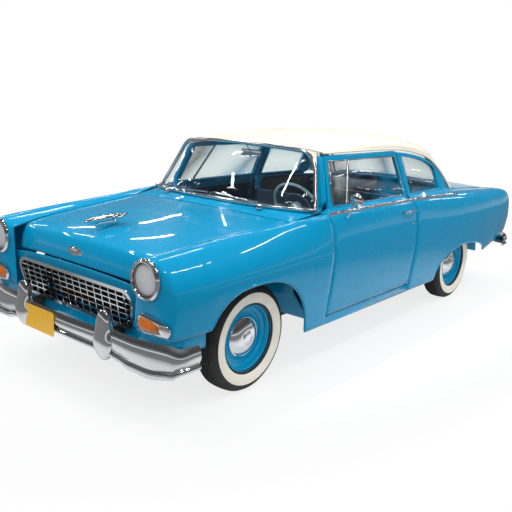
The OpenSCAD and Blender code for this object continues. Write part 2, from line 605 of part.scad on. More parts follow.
// Chassis frame: two rails that kick up over the axles, with cross members
floor_t = 12;
floor_z = 318;
rail_y = 395;
rail_w = 64;
rail_h = 100;
rail_z = floor_z - floor_t - fit - rail_h;
bumper_x = length/2 - 44;
rail_front_x = bumper_x - 17.2;
rail_rear_x = -bumper_x + 22;
// Lower line of a rail as x and z
RAIL = [[rail_front_x, 374], [front_axle_x + 330, 352], [front_axle_x + 150, 310],
    [front_axle_x - 360, rail_z], [rear_axle_x + 640, rail_z], [rear_axle_x + 430, 290],
    [rear_axle_x + 250, 400], [rear_axle_x + 130, 408],
    [lerp(rear_axle_x, rail_rear_x, 0.242), 408], [lerp(rear_axle_x, rail_rear_x, 0.364), 390],
    [rail_rear_x, 360]];
cross_members = [rail_front_x - 260, front_axle_x - 620, rear_axle_x + 1050,
    lerp(rear_axle_x, rail_rear_x, 0.346)];
function rail_top(x) =
    let (i = bay(RAIL, x), a = RAIL[i], b = RAIL[i + 1]) lerp(a.y, b.y, (x - a.x)/(b.x - a.x)) + rail_h;
module frame() {
    color(BLACK) {
        for (s = [-1, 1]) translate([0, s*rail_y, 0]) across_car(rail_w)
            polygon(concat(RAIL, [for (k = [len(RAIL) - 1:-1:0]) RAIL[k] + [0, rail_h]]));
        for (x = cross_members)
            translate([x, 0, rail_top(x) - 55]) cube([70, 2*rail_y - rail_w + 2, 60], center = true);
    }
}

// Floor with firewall, tunnel, rockers and rear wheelhouses
trunk_z = 524;
firewall_x = hood_rear_x - 34;
firewall_z = 985;
tunnel_half = 120;
tunnel_z = 402;
riser_x = door_rear_x - 60;
seat_rise = 96;
house_r = wheel_z + 66;
house_y0 = rear_track/2 - tyre_width/2 - 24;
house_y1 = rear_side - 75;
rocker_y0 = 780;
// Upper line of the floor as x, z and the side, ahead or behind, on which its thickness lies
CABIN_FLOOR = [[firewall_x, firewall_z, 1], [firewall_x, 540, 1], [firewall_x - 190, floor_z, 1],
    [riser_x, floor_z, -1], [riser_x - 20, floor_z + seat_rise, -1],
    [rear_axle_x + house_r + 14, floor_z + seat_rise + 20, -1]];
TRUNK_FLOOR = [[rear_axle_x + house_r + 14 + floor_t, floor_z + seat_rise + 18, -1],
    [rear_axle_x + house_r + floor_t, trunk_z, -1], [tail_plate_x + panel_t + floor_t + fit, trunk_z, -1]];
function sheet(line, t) = concat([for (p = line) [p.x, p.y]],
    [for (k = [len(line) - 1:-1:0]) [line[k].x + t*line[k].z, line[k].y - abs(t)]]);
module floor_tunnel(grow) {
    translate([riser_x - 60, 0, 0]) rotate([90, 0, 90])
        linear_extrude(firewall_x - riser_x + 78)
            polygon([[-tunnel_half - grow, floor_z - floor_t], [-tunnel_half*0.7 - grow, tunnel_z + grow],
                [tunnel_half*0.7 + grow, tunnel_z + grow], [tunnel_half + grow, floor_z - floor_t]]);
}
module wheelhouse() {
    translate([rear_axle_x, 0, wheel_z]) rotate([-90, 0, 0]) intersection() {
        difference() {
            translate([0, 0, house_y0]) cylinder(h = house_y1 - house_y0, r = house_r + floor_t);
            translate([0, 0, house_y0 + floor_t]) cylinder(h = house_y1, r = house_r);
        }
        translate([-house_r - 50, -house_r - 50, house_y0 - 1])
            cube([2*house_r + 100, house_r - 10, house_y1]);
    }
}
// Post that carries the door, with the leaves of its two hinges
HINGE_Z = [470, 800];
module hinge_post() {
    translate([door_front_x + panel_gap, rocker_y0 - 10, floor_z - floor_t]) cube([60, 86, 680]);
    for (z = HINGE_Z)
        translate([door_front_x + fit, rocker_y0 + 60, z]) cube([panel_gap + 2, 42, 64]);
}
module floor() {
    color(BLUE) {
        difference() {
            union() {
                across_car(2*rocker_y0 + 8) polygon(sheet(CABIN_FLOOR, floor_t));
                floor_tunnel(floor_t);
            }
            floor_tunnel(0);
        }
        across_car(2*house_y0 + 4) polygon(sheet(TRUNK_FLOOR, floor_t));
        both_sides() {
            translate([door_rear_x - panel_gap + fit, rocker_y0, rocker_z])
                cube([door_length + 2*panel_gap - 2*fit, section(door_rear_x)[SILL] - rocker_y0,
                    door_bottom_z - panel_gap - rocker_z]);
            translate([door_rear_x - panel_gap - 62, rocker_y0 - 30, floor_z - floor_t])
                cube([60, 48, belt_z + 10 - fit - floor_z + floor_t]);
            hinge_post();
            wheelhouse();
        }
    }
}

// Radiator support, inner aprons and the pan under the grille
support_x = front_axle_x + 470;
apron_y = 552;
apron_z0 = wheel_z*2 + 18;
pan_x = lamp_x - 52;
nose_half = section(lamp_x)[SEAM] - NOSE_INSET - 2;
// Front of the sheet round the grille, ahead of the grille's back
nose_set = 4;
nose_foot_z = grille_z0 - 34;
// Upper line of the pan, and the left edge of the sheet round the grille from the middle down
PAN = [[pan_x - 16, grille_z0 - 30, -1], [pan_x + 8, grille_z0 - 70, -1], [pan_x - 22, grille_z0 - 150, -1]];
NOSE_EDGE = [[0, 772], [300, 769], [480, 760], [578, 750], [640, 740], [640, 560],
    [nose_half, grille_z0 - 16], [nose_half, nose_foot_z]];
module front_panel() {
    support_z0 = rail_top(support_x + floor_t) + fit;
    color(BLUE) {
        difference() {
            translate([support_x, -apron_y, support_z0]) cube([floor_t, 2*apron_y, 868 - support_z0]);
            translate([support_x - 1, -300, support_z0 + 60]) cube([floor_t + 2, 600, 280]);
        }
        both_sides() {
            translate([firewall_x + floor_t + fit, apron_y - floor_t, apron_z0])
                cube([support_x - firewall_x - floor_t - fit + 1, floor_t, 905 - apron_z0]);
            translate([front_axle_x - ARCH_BACK + 90, apron_y - 1, apron_z0])
                cube([ARCH_FRONT + ARCH_BACK - 140, 300, floor_t]);
        }
        difference() {
            across_car(2*nose_half - 6) polygon(sheet(PAN, floor_t));
            for (s = [-1, 1]) translate([pan_x, s*rail_y, rail_top(pan_x) - rail_h/2])
                cube([120, rail_w + 8, rail_h + 14], center = true);
        }
        nose_tilt() translate([nose_set - panel_t, 0, -grille_z0]) nose_plate(panel_t) difference() {
            polygon(concat(NOSE_EDGE, [for (k = [len(NOSE_EDGE) - 1:-1:1]) opposite(NOSE_EDGE[k])]));
            grille_outline(surround_w + fit);
        }
        both_sides() translate([support_x + floor_t - 1, apron_y - 60, support_z0])
            cube([pan_x - 4 - support_x - floor_t, 20, 20]);
        both_sides() nose_tilt() translate([-30, apron_y - 70, -50]) cube([30 - fit, 40, 44]);
    }
}

// Engine as one plain block on its two mounts
module engine() {
    color(STEEL) {
        translate([front_axle_x - 330, -220, engine_z0]) cube([670, 440, 440]);
        both_sides() translate([front_axle_x - 40, 160, crossmember_top + fit])
            cube([80, 60, engine_z0 + 2 - crossmember_top]);
    }
}

// Grille of upright and level bars in a rounded surround, leaning with the nose
grille_x = lamp_x - 66;
grille_lean = 10;
grille_depth = 34;
grille_narrow = 30;
surround_w = 22;
corner_r = 60;
module grille_outline(grow) {
    offset(r = corner_r + grow, $fn = 40) offset(delta = -corner_r)
        polygon([[-grille_half + grille_narrow, grille_z0], [grille_half - grille_narrow, grille_z0],
            [grille_half, grille_z1], [-grille_half, grille_z1]]);
}
module nose_tilt() { translate([grille_x, 0, grille_z0]) rotate([0, grille_lean, 0]) children(); }
module nose_plate(depth) { rotate([90, 0, 90]) linear_extrude(depth) children(); }
module grille() {
    height = grille_z1 - grille_z0;
    color(CHROME) nose_tilt() translate([0, 0, -grille_z0]) {
        nose_plate(grille_depth) difference() {
            grille_outline(surround_w);
            grille_outline(0);
        }
        nose_plate(grille_depth*0.7) intersection() {
            grille_outline(1);
            union() {
                for (k = [1:grille_uprights]) {
                    y = lerp(-grille_half, grille_half, k/(grille_uprights + 1));
                    translate([y, mean(grille_z0, grille_z1)])
                        square([grille_bar, height + 2], center = true);
                }
                for (k = [1:grille_levels])
                    translate([0, lerp(grille_z0, grille_z1, k/(grille_levels + 1))])
                        square([2*grille_half + 2, grille_bar], center = true);
            }
        }
    }
}

// Bumper bars that wrap round the corners, with two upright guards each
WRAP = 240; BUMPER_HALF = 916; GUARD_Y = 400;
BUMPER_COLS = 28;
// Height up the face and how far the face stands forward there: a rolled lower lip, then a rounded bar
FACE = [[0, 0], [0.06, 13], [0.14, 16], [0.22, 9], [0.5, 22], [0.8, 17], [1, 0]];
// Lower and upper edges by the part of the half width
FRONT_LOW = [[0, 352], [0.42, 352], [0.55, 334], [0.75, 322], [0.93, 336], [1, 356]];
FRONT_HIGH = [[0, 478], [0.42, 480], [0.5, 500], [0.7, 522], [0.92, 520], [1, 502]];
REAR_LOW = [[0, 388], [0.5, 384], [0.9, 372], [1, 384]];
REAR_HIGH = [[0, 506], [0.8, 508], [1, 496]];
function bumper_point(a, face, low, high) =
    let (s = abs(sin(a)), c = pow(max(0.0001, cos(a)), 0.36))
    [bumper_x - WRAP + (WRAP + face[1])*c, sign(a)*(BUMPER_HALF + face[1]*s)*pow(s, 0.85),
        lerp(lookup(s, low), lookup(s, high), face[0])];
module bumper(low, high, guard_z0, guard_z1) {
    grid = function (t) [for (i = [0:BUMPER_COLS]) [for (face = FACE)
        bumper_point(lerp(-90, 90, i/BUMPER_COLS), face - [0, t], low, high)]];
    shell(grid(0), grid(panel_t));
    back = bumper_x - 12;
    for (s = [-1, 1]) hull() {
        translate([back, s*GUARD_Y - 34, guard_z0 + 12]) cube([0.5, 68, guard_z1 - guard_z0 - 26]);
        for (p = [[guard_z0 + 30, 18], [mean(guard_z0, guard_z1), 26], [guard_z1 - 20, 20]])
            translate([length/2 - p[1], s*GUARD_Y, p[0]]) sphere(r = p[1], $fn = 20);
    }
}
module front_bumper() { color(CHROME) bumper(FRONT_LOW, FRONT_HIGH, 318, 598); }
module rear_bumper() { color(CHROME) mirror([1, 0, 0]) bumper(REAR_LOW, REAR_HIGH, 356, 562); }

// Lamps: bright rims and the lenses that sit in them
lamp_face = lamp_x + 32;
tail_face = tail_x - 30;
parking_face = lamp_x + 18;
lens_r = headlamp_diameter/2;
// Parking lamp: radius of its wide inner end, and of the point it tapers to
parking_r = 48;
parking_tip_r = 31;
parking_y = 700;
parking_reach = 150;
parking_lean = 9;
parking_lens_reach = 84;
module tail_outline(grow) {
    hull() for (s = [-1, 1])
        translate([0, s*(TAIL_HALF[1] - TAIL_HALF[0])]) circle(r = TAIL_HALF[0] - 8 + grow, $fn = 32);
}
module tail_plate(x, depth) {
    translate([x, tail_lamp_y, tail_lamp_z]) rotate([90, 0, 90]) linear_extrude(depth) children();
}
module parking_wedge(x, depth, grow, reach) {
    translate([parking_face, parking_y, parking_z]) rotate([0, parking_lean, 0]) translate([x, 0, 0])
        rotate([90, 0, 90]) linear_extrude(depth) hull() {
            circle(r = parking_r + grow, $fn = 40);
            translate([reach, -4]) circle(r = parking_tip_r + grow, $fn = 24);
        }
}
module lamp_bezels() {
    color(CHROME) both_sides() {
        turned_x(lamp_face, headlamp_y, headlamp_z)
            polygon([[lens_r + fit, -20], [lens_r + 8, -20], [lens_r + 8, fit], [lens_r + 26, fit],
                [lens_r + 24, 11], [lens_r + 14, 22], [lens_r + 5, 20], [lens_r + fit, 10]]);
        difference() {
            hull() {
                parking_wedge(0, 10, 10, parking_reach);
                parking_wedge(20, 2, 3, parking_reach - 20);
            }
            parking_wedge(8, 30, -6, parking_lens_reach);
        }
        tail_plate(tail_face - 22, 22 - fit) difference() {
            tail_outline(14);
            tail_outline(0);
        }
    }
}
module headlamp_lenses() {
    color(GLASS) both_sides() turned_x(lamp_face, headlamp_y, headlamp_z)
        polygon([[0, -14], [lens_r, -14], [lens_r, -2], [lens_r*0.8, 10], [lens_r*0.5, 18], [0, 22]]);
}
module parking_lenses() {
    color([0.95, 0.5, 0.08]) both_sides() hull() {
        parking_wedge(8 + fit, 14, -6 - fit, parking_lens_reach);
        parking_wedge(40, 1, -30, parking_lens_reach - 50);
    }
}
module tail_lenses() {
    color([0.6, 0.03, 0.04]) both_sides() hull() {
        tail_plate(tail_face - 18, 16) tail_outline(-0.5);
        tail_plate(tail_face - 34, 2) tail_outline(-18);
    }
}

// Dashboard across the cabin, column and wheel in front of the driver
dash_half = 716;
hub_x = post_x - 200;
hub_z = 985;
hub = [hub_x, steering_y, hub_z];
column_dir = [-cos(steering_rake), 0, sin(steering_rake)];
column_r = 26;
DASH = [[300, 960], [300, 984], [60, 1000], [-50, 984], [-72, 930], [-40, 800], [20, 758], [60, 758],
    [60, 940]];
module dashboard() {
    color(BLUE) difference() {
        across_car(2*dash_half) polygon([for (p = DASH) [post_x + p.x, p.y]]);
        rod(hub - 900*column_dir, hub + 10*column_dir, column_r + fit);
    }
}
module steering_column() {
    reach = (firewall_x - hub_x)/cos(steering_rake) - column_r*tan(steering_rake) - fit;
    color(BLUE) rod(hub - reach*column_dir, hub - (23 + fit)*column_dir, column_r);
}
module steering_wheel() {
    rim_r = 11;
    color(NAVY) translate(hub) rotate([0, steering_rake - 90, 0]) {
        rotate_extrude($fn = 64) translate([steering_diameter/2 - rim_r, 12]) circle(r = rim_r, $fn = 24);
        translate([0, 0, -23]) cylinder(h = 42, r = 44);
        rotate([90, 0, 0]) cylinder(h = steering_diameter - 2*rim_r, r = 8, center = true);
    }
}

// Bench seats: cushion and back, the front one on side pedestals
seat_half = 640;
module roll(x, z, r, half) {
    translate([x, 0, z]) rotate([90, 0, 0]) cylinder(h = 2*half, r = r, center = true, $fn = 24);
}
module bench(corners, r, half) { hull() for (c = corners) roll(c.x, c.y, r, half); }
front_seat_x = door_rear_x + 300;
front_back_h = 510;
module front_seat() {
    x = front_seat_x;
    z = tunnel_z + floor_t + 6;
    top_z = z + front_back_h;
    color(NAVY) {
        bench([[x - 10, z + 40], [x + 430, z + 40], [x + 440, z + 145], [x - 30, z + 120]], 40, seat_half);
        bench([[x - 60, z + 205], [x - 120, z + 215], [x - 190, top_z], [x - 130, top_z]], 40, seat_half);
        for (s = [-1, 1]) translate([x + 20, s*450 - 100, floor_z + fit]) cube([360, 200, z - floor_z + 4]);
        translate([x - 150, -560, z + 120]) cube([120, 1120, 60]);
    }
}
rear_half = house_y0 - 24;
rear_back_h = 340;
module rear_seat() {
    x = riser_x - 60;
    z = floor_z + seat_rise + 22;
    back_z = trunk_z + 40 + fit;
    top_z = back_z + rear_back_h;
    color(NAVY) {
        bench([[x, z + 44], [x, z + 124], [x - 420, z + 44], [x - 424, z + 92]], 40, rear_half);
        bench([[x - 460, back_z], [x - 520, back_z], [x - 590, top_z], [x - 540, top_z]], 40, rear_half);
        translate([x - 500, -rear_half + 40, trunk_z + 20]) cube([90, 2*rear_half - 80, 60]);
    }
}

// Front suspension: cross member, wishbones and springs between the frame and the kingpins
crossmember_top = 330;
kingpin_y = front_track/2 - kingpin_inset;
ARM_LOW = 236; ARM_HIGH = 486;
// Length of the lower wishbone's pivot
pivot_l = 260;
module front_suspension() {
    color(BLACK) {
        translate([front_axle_x - 75, -rail_y + rail_w/2 + fit, crossmember_top - 70])
            cube([150, 2*rail_y - rail_w - 2*fit, 70]);
        both_sides() {
            translate([front_axle_x, 500, ARM_LOW + 18]) cylinder(h = 190, r = 52);
            for (dx = [-110, 110]) {
                rod([front_axle_x + dx, rail_y + rail_w/2 + 18, 330],
                    [front_axle_x, kingpin_y, ARM_LOW - 30], 15);
                rod([front_axle_x + dx*0.7, 440, ARM_HIGH - 20],
                    [front_axle_x, kingpin_y, ARM_HIGH + 15], 13);
            }
            translate([front_axle_x, kingpin_y, ARM_LOW - 24]) cylinder(h = 28, r = 26);
            translate([front_axle_x, kingpin_y, ARM_HIGH - 8]) cylinder(h = 28, r = 26);
            translate([front_axle_x - pivot_l/2, rail_y + rail_w/2 + fit, 316]) cube([pivot_l, 26, 28]);
            translate([front_axle_x - 95, rail_y + rail_w/2 + fit, rail_top(front_axle_x) - 40])
                cube([190, 120, ARM_HIGH + 30 - rail_top(front_axle_x)]);
        }
    }
}
spindle_tip = 36;
plate_r = 136;
module stub_axle(x, y, side, inboard) {
    translate([x, y, wheel_z]) rotate([side > 0 ? -90 : 90, 0, 0]) {
        translate([0, 0, -inboard]) cylinder(h = inboard + spindle_tip, r = spindle_r);
        translate([0, 0, -60]) cylinder(h = 40, r = plate_r);
    }
}
module knuckle(side) {
    color(STEEL) {
        stub_axle(front_axle_x, side*front_track/2, side, kingpin_inset);
        translate([front_axle_x, side*kingpin_y, ARM_LOW + 4 + fit])
            cylinder(h = ARM_HIGH - ARM_LOW - 12 - 2*fit, r = 22);
        rod([front_axle_x, side*kingpin_y, ARM_LOW + 70],
            [front_axle_x - 160, side*(kingpin_y - 20), ARM_LOW + 64], 13);
    }
}
module knuckle_left() { knuckle(1); }
module knuckle_right() { knuckle(-1); }

// Rear axle on two leaf springs, with the driveshaft
spring_y = 520;
eye_z = 346;
rail_side = rail_y + rail_w/2;
module rear_suspension() {
    axle = [rear_axle_x, 0, wheel_z];
    arc = [for (k = [0:10]) let (t = k/10) [lerp(640, -700, t), 330 - 76*4*t*(1 - t)]];
    color(BLACK) {
        translate(axle) sphere(r = 128);
        translate(axle) rotate([90, 0, 0]) cylinder(h = rear_track - 150, r = 38, center = true);
        rod(axle, [front_axle_x - 334, 0, 330], 34);
        for (s = [-1, 1]) {
            stub_axle(rear_axle_x, s*rear_track/2, s, 80);
            translate([rear_axle_x, s*spring_y, 0]) {
                across_car(56) polygon(concat(arc, [for (k = [10:-1:0]) arc[k] + [0, 26]]));
                translate([0, 0, 290]) cube([110, 70, 50], center = true);
            }
            for (x = [rear_axle_x + 636, rear_axle_x - 696]) {
                translate([x, s*(rail_side + fit), eye_z]) rotate([-90*s, 0, 0])
                    cylinder(h = spring_y + 28 - rail_side, r = 24);
                translate([x - 20, s*(rail_side + 18 + fit) - 18, min(eye_z, rail_top(x) - 60)])
                    cube([40, 36, 80]);
            }
        }
    }
}

// Exhaust from the engine to the tail, with its silencer and a hanger
pipe_y = -195;
pipe_z = 190;
pipe_r = 25;
// Plain end of the pipe, swaged out, that a hose slides on
tip_r = 27;
tip_l = 150;
engine_z0 = 400;
module exhaust() {
    start = front_axle_x - 250;
    tip_x = tail_x - 60;
    color(STEEL) {
        rod([start, pipe_y, pipe_z], [tip_x + tip_l - 1, pipe_y, pipe_z], pipe_r);
        rod([tip_x, pipe_y, pipe_z], [tip_x + tip_l, pipe_y, pipe_z], tip_r);
        rod([rear_axle_x + 430, pipe_y, pipe_z + 8], [rear_axle_x + 980, pipe_y, pipe_z + 8], 62);
        translate([start, pipe_y, pipe_z]) sphere(r = pipe_r);
        translate([start, pipe_y, pipe_z]) cylinder(h = engine_z0 - fit - pipe_z, r = pipe_r);
        translate([lerp(rear_axle_x, tail_x, 0.425), pipe_y - 8, pipe_z])
            cube([20, 16, trunk_z - floor_t - fit - pipe_z]);
    }
}
tank_l = 460;
tank_w = 700;
tank_z = 352;
module fuel_tank() {
    color(STEEL) translate([tail_x + 180, -tank_w/2, tank_z])
        cube([tank_l, tank_w, trunk_z - floor_t - fit - tank_z]);
}

// Slender swept ornament on the nose of the hood
ornament_l = 330;
ornament_rise = 56;
ornament_half = 58;
module hood_ornament() {
    x = nose_break_x + 10;
    foot = function (back, r) [x - back, 0, section(x - back)[TOP] + r + 1.6];
    body = function (back, rise) [x - back, 0, section(x - ornament_l/2)[TOP] + ornament_rise + rise];
    color(CHROME) {
        hull() {
            translate(foot(90, 9)) sphere(r = 9, $fn = 16);
            translate(foot(ornament_l - 50, 7)) sphere(r = 7, $fn = 16);
            translate(body(ornament_l/2, 0)) sphere(r = 9, $fn = 16);
        }
        hull() {
            translate(body(0, -8)) sphere(r = 6, $fn = 16);
            translate(body(ornament_l*0.4, 0)) sphere(r = 17, $fn = 20);
            translate(body(ornament_l, 14)) sphere(r = 5, $fn = 16);
        }
        both_sides() hull() {
            translate(body(ornament_l*0.35, 0)) sphere(r = 6, $fn = 12);
            translate(body(ornament_l*0.7, 4)) sphere(r = 6, $fn = 12);
            translate(body(ornament_l*0.92, 12) + [0, ornament_half, 0]) sphere(r = 3.5, $fn = 12);
        }
    }
}

// Door handle on both sides, and the round mirror on the driver's side
handle_x = door_rear_x + 165;
handle_z = 962;
mirror_x = post_x - 120;
mirror_r = 52;
function door_skin(x, z) = skin(x, u_at(x, z));
module handle() {
    p = door_skin(handle_x, handle_z);
    color(CHROME) {
        for (dx = [-70, 70]) rod(p + [dx, 3, 0], p + [dx, 34, 2], 9);
        rod(p + [-84, 34, 2], p + [84, 34, 2], 9);
    }
}
module door_trim_left() {
    handle();
    foot = door_skin(mirror_x + 60, 1000);
    head = foot + [-95, 6, 112];
    color(CHROME) {
        rod(foot + [0, 3.6, 5.6], head, 7);
        turned_x(head.x - 8, head.y, head.z)
            polygon([[0, -8], [mirror_r, -8], [mirror_r, 0], [mirror_r*0.8, 12], [mirror_r*0.4, 20],
                [0, 22]]);
    }
}
module door_trim_right() { mirror([0, 1, 0]) handle(); }

frame();
engine();
floor();
front_panel();
cowl();
fender_left();
fender_right();
grille();
front_bumper();
rear_bumper();
lamp_bezels();
headlamp_lenses();
parking_lenses();
tail_lenses();
quarter_left();
quarter_right();
quarter_window_frames();
tail_panel();
roof();
windshield();
rear_window();
quarter_glass();
dashboard();
steering_column();
steering_wheel();
front_seat();
rear_seat();
front_suspension();
rear_suspension();
exhaust();
fuel_tank();
hood();
hood_ornament();
trunk_lid();
door_left();
door_right();
door_glass_left();
door_glass_right();
door_trim_left();
door_trim_right();
knuckle_left();
knuckle_right();
wheel_front_left();
wheel_front_right();
wheel_rear_left();
wheel_rear_right();
tyre_front_left();
tyre_front_right();
tyre_rear_left();
tyre_rear_right();
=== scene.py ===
import math

import bmesh
import bpy
from mathutils import Matrix, Vector
from mathutils.bvhtree import BVHTree


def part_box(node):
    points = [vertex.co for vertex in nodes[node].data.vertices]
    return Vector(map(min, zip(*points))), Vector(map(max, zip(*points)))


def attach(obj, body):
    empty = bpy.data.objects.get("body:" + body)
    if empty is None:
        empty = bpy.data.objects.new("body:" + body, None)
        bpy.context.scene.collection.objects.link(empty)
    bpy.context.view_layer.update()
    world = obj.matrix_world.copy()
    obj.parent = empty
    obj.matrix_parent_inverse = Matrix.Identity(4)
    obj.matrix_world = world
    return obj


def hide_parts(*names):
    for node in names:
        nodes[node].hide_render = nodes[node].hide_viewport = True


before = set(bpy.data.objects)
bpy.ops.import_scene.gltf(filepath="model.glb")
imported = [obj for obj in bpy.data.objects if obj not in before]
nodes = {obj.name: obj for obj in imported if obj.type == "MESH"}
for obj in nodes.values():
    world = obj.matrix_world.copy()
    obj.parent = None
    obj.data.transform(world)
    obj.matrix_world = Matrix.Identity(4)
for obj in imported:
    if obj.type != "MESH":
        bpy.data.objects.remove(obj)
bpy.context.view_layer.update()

# Chassis: a welded box-section frame with the suspension, engine block, exhaust and fuel tank bolted to it.
# Pressed and forged steel in satin black, bare castings, and dull plain steel where it gets hot.


class Value:
    """One output of a finish's nodes, with the arithmetic that the finishes use."""

    def __init__(self, finish, socket):
        self.finish, self.socket = finish, socket

    def maths(self, operation, a, b):
        return self.finish.node("ShaderNodeMath", {"operation": operation}, {0: a, 1: b})

    def __add__(self, other):
        return self.maths("ADD", self, other)

    __radd__ = __add__

    def __rsub__(self, other):
        return self.maths("SUBTRACT", other, self)

    def __mul__(self, other):
        return self.maths("MULTIPLY", self, other)

    __rmul__ = __mul__


class Finish:
    """A material, or the world, whose nodes are added one at a time."""

    def __init__(self, name, kind=bpy.data.materials):
        self.made = kind.new(name)
        self.made.use_nodes = True
        self.tree = self.made.node_tree
        self.tree.nodes.clear()

    def node(self, kind, settings=None, sockets=None, out=0):
        made = self.tree.nodes.new(kind)
        for key, value in (settings or {}).items():
            if key == "stops":
                for _ in value[2:]:
                    made.color_ramp.elements.new(0.5)
                for stop, (place, level) in zip(made.color_ramp.elements, value):
                    stop.position, stop.color = place, (level, level, level, 1)
            else:
                setattr(made, key, value)
        for key, value in (sockets or {}).items():
            if isinstance(value, Value):
                self.tree.links.new(value.socket, made.inputs[key])
            else:
                made.inputs[key].default_value = value
        return Value(self, made.outputs[out] if made.outputs else None)

    def place(self):
        return self.node("ShaderNodeTexCoord", out="Object")

    def noise(self, scale, detail=3.0):
        return self.node("ShaderNodeTexNoise", {}, {"Vector": self.place(), "Scale": scale, "Detail": detail})

    def bands(self, direction, scale):
        return self.node("ShaderNodeTexWave", {"bands_direction": direction},
                         {"Vector": self.place(), "Scale": scale}, 1)

    def ramp(self, value, stops):
        return self.node("ShaderNodeValToRGB", {"stops": stops}, {0: value})

    def mix(self, share, one, other):
        return self.node("ShaderNodeMix", {"data_type": "RGBA"}, {0: share, 6: (*one, 1), 7: (*other, 1)}, 2)

    def bump(self, height, distance, strength):
        return self.node("ShaderNodeBump", {}, {"Height": height, "Distance": distance, "Strength": strength})

    def done(self, sockets):
        return self.surface(self.node("ShaderNodeBsdfPrincipled", {}, sockets))

    def surface(self, shader):
        self.node("ShaderNodeOutputMaterial", {}, {0: shader})
        return self.made


def worn_metal(name, colour, dirt, metallic, roughness):
    """Plain or painted metal with road dirt lying in soft patches."""
    finish = Finish(name)
    patches = finish.noise(7.0, 8.0)
    dirty = finish.ramp(patches, [(0.45, 0.0), (0.75, 1.0)])
    return finish.done({
        "Base Color": finish.mix(dirty, colour, dirt),
        "Metallic": metallic,
        "Roughness": roughness + 0.18 * patches,
        "Normal": finish.bump(finish.noise(420.0, 2.0), 0.0006, 0.25),
    })


chassis_black = worn_metal("chassis_black", (0.012, 0.012, 0.013), (0.055, 0.048, 0.04), 0.0, 0.42)
casting = worn_metal("casting", (0.10, 0.10, 0.105), (0.05, 0.045, 0.04), 0.35, 0.5)
dull_steel = worn_metal("dull_steel", (0.33, 0.32, 0.31), (0.16, 0.10, 0.06), 0.85, 0.4)


def loose_copy(node):
    """A node's mesh with its triangles welded."""
    b = bmesh.new()
    b.from_mesh(nodes[node].data)
    bmesh.ops.remove_doubles(b, verts=b.verts, dist=1e-5)
    return b


def piece(name, b, material, body, sharp=38):
    """The bmesh made an object that rides on a body, smooth but for edges folded past sharp degrees."""
    mesh = bpy.data.meshes.new(name)
    b.to_mesh(mesh)
    b.free()
    mesh.materials.append(material)
    for p in mesh.polygons:
        p.use_smooth = True
    mesh.set_sharp_from_angle(angle=math.radians(sharp))
    made = bpy.data.objects.new(name, mesh)
    bpy.context.scene.collection.objects.link(made)
    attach(made, body)
    return made


def turned_out(node, body, material, sharp=38):
    """The node in its own shape, smoothly shaded."""
    made = piece(node + "_shell", loose_copy(node), material, body, sharp)
    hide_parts(node)


for node in ("frame", "front_suspension", "rear_suspension"):
    turned_out(node, "body", chassis_black)
turned_out("engine", "body", casting)
turned_out("knuckle_left", "knuckle_left", casting)
turned_out("knuckle_right", "knuckle_right", casting)
turned_out("exhaust", "body", dull_steel)
turned_out("fuel_tank", "body", dull_steel)

# Painted steel panels. Each is a pressing lofted through the body's stations, sprayed with a solid
# turquoise enamel under lacquer; the roof is sprayed ivory. They are bolted or welded to the floor, and
# the hood, trunk lid and doors hang on hinges.

flat_angle, fold_angle = math.radians(38), math.radians(42)
skins = {}


def enamel(name, colour, deeper, lacquer):
    """Glossy enamel: faint tone drift, orange peel and a thin film of dust under lacquer."""
    finish = Finish(name)
    dust = finish.noise(9.0, 6.0)
    return finish.done({
        "Base Color": finish.mix(finish.noise(1.6, 4.0), colour, deeper),
        "Roughness": 0.22 + 0.10 * dust,
        "Specular IOR Level": 0.03,
        "Coat Weight": lacquer,
        "Coat IOR": 1.34,
        "Coat Roughness": 0.03,
        "Normal": finish.bump(finish.noise(260.0, 2.0), 0.0004, 0.05),
    })


blue = enamel("turquoise_enamel", (0.001, 0.318, 0.575), (0.001, 0.294, 0.542), 1.0)
ivory = enamel("ivory_enamel", (0.88, 0.84, 0.73), (0.86, 0.82, 0.70), 0.3)


def pressing(node, body, material):
    """The node as a smooth pressing that keeps its folded edges."""
    b = loose_copy(node)
    longest = {f: max(f.edges, key=lambda e: e.calc_length()) for f in b.faces}
    bmesh.ops.dissolve_edges(b, edges=[
        e for e in b.edges if len(e.link_faces) == 2 and all(longest[f] == e for f in e.link_faces)
        and e.calc_face_angle(0) < flat_angle])
    crease = b.edges.layers.float.new("crease_edge")
    for e in b.edges:
        if e.calc_face_angle(math.pi) > fold_angle:
            e[crease] = 0.9
    made = piece(node + "_skin", b, material, body, 180)
    rounding = made.modifiers.new("rounding", "SUBSURF")
    rounding.levels = rounding.render_levels = 2
    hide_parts(node)
    skins[node] = made


for node in ("fender_left", "fender_right", "quarter_left", "quarter_right", "quarter_window_frames",
             "tail_panel", "cowl"):
    pressing(node, "body", blue)
pressing("roof", "body", ivory)
for node in ("hood", "trunk_lid", "door_left", "door_right"):
    pressing(node, node, blue)
turned_out("floor", "body", blue)
turned_out("front_panel", "body", blue)

# Rolled lips round the wheel arches: the edge of each fender and quarter is turned back on itself in the
# press, which stiffens it, and it is sprayed with the panel.

sides = (("left", 1), ("right", -1))
front_axle_x, rear_axle_x = 1.659, -1.262
rocker_z, front_edge_z, tail_edge_z, tail_reach = 0.277, 0.522, 0.520, 1.130
front_arch_z, front_arch_ahead, front_arch_behind = 0.722, 0.455, 0.480
rear_arch_z, rear_arch_half = 0.540, 0.530
outside_y = 1.3


def lerp(a, b, t):
    """The value t of the way from a to b."""
    return a + (b - a) * t


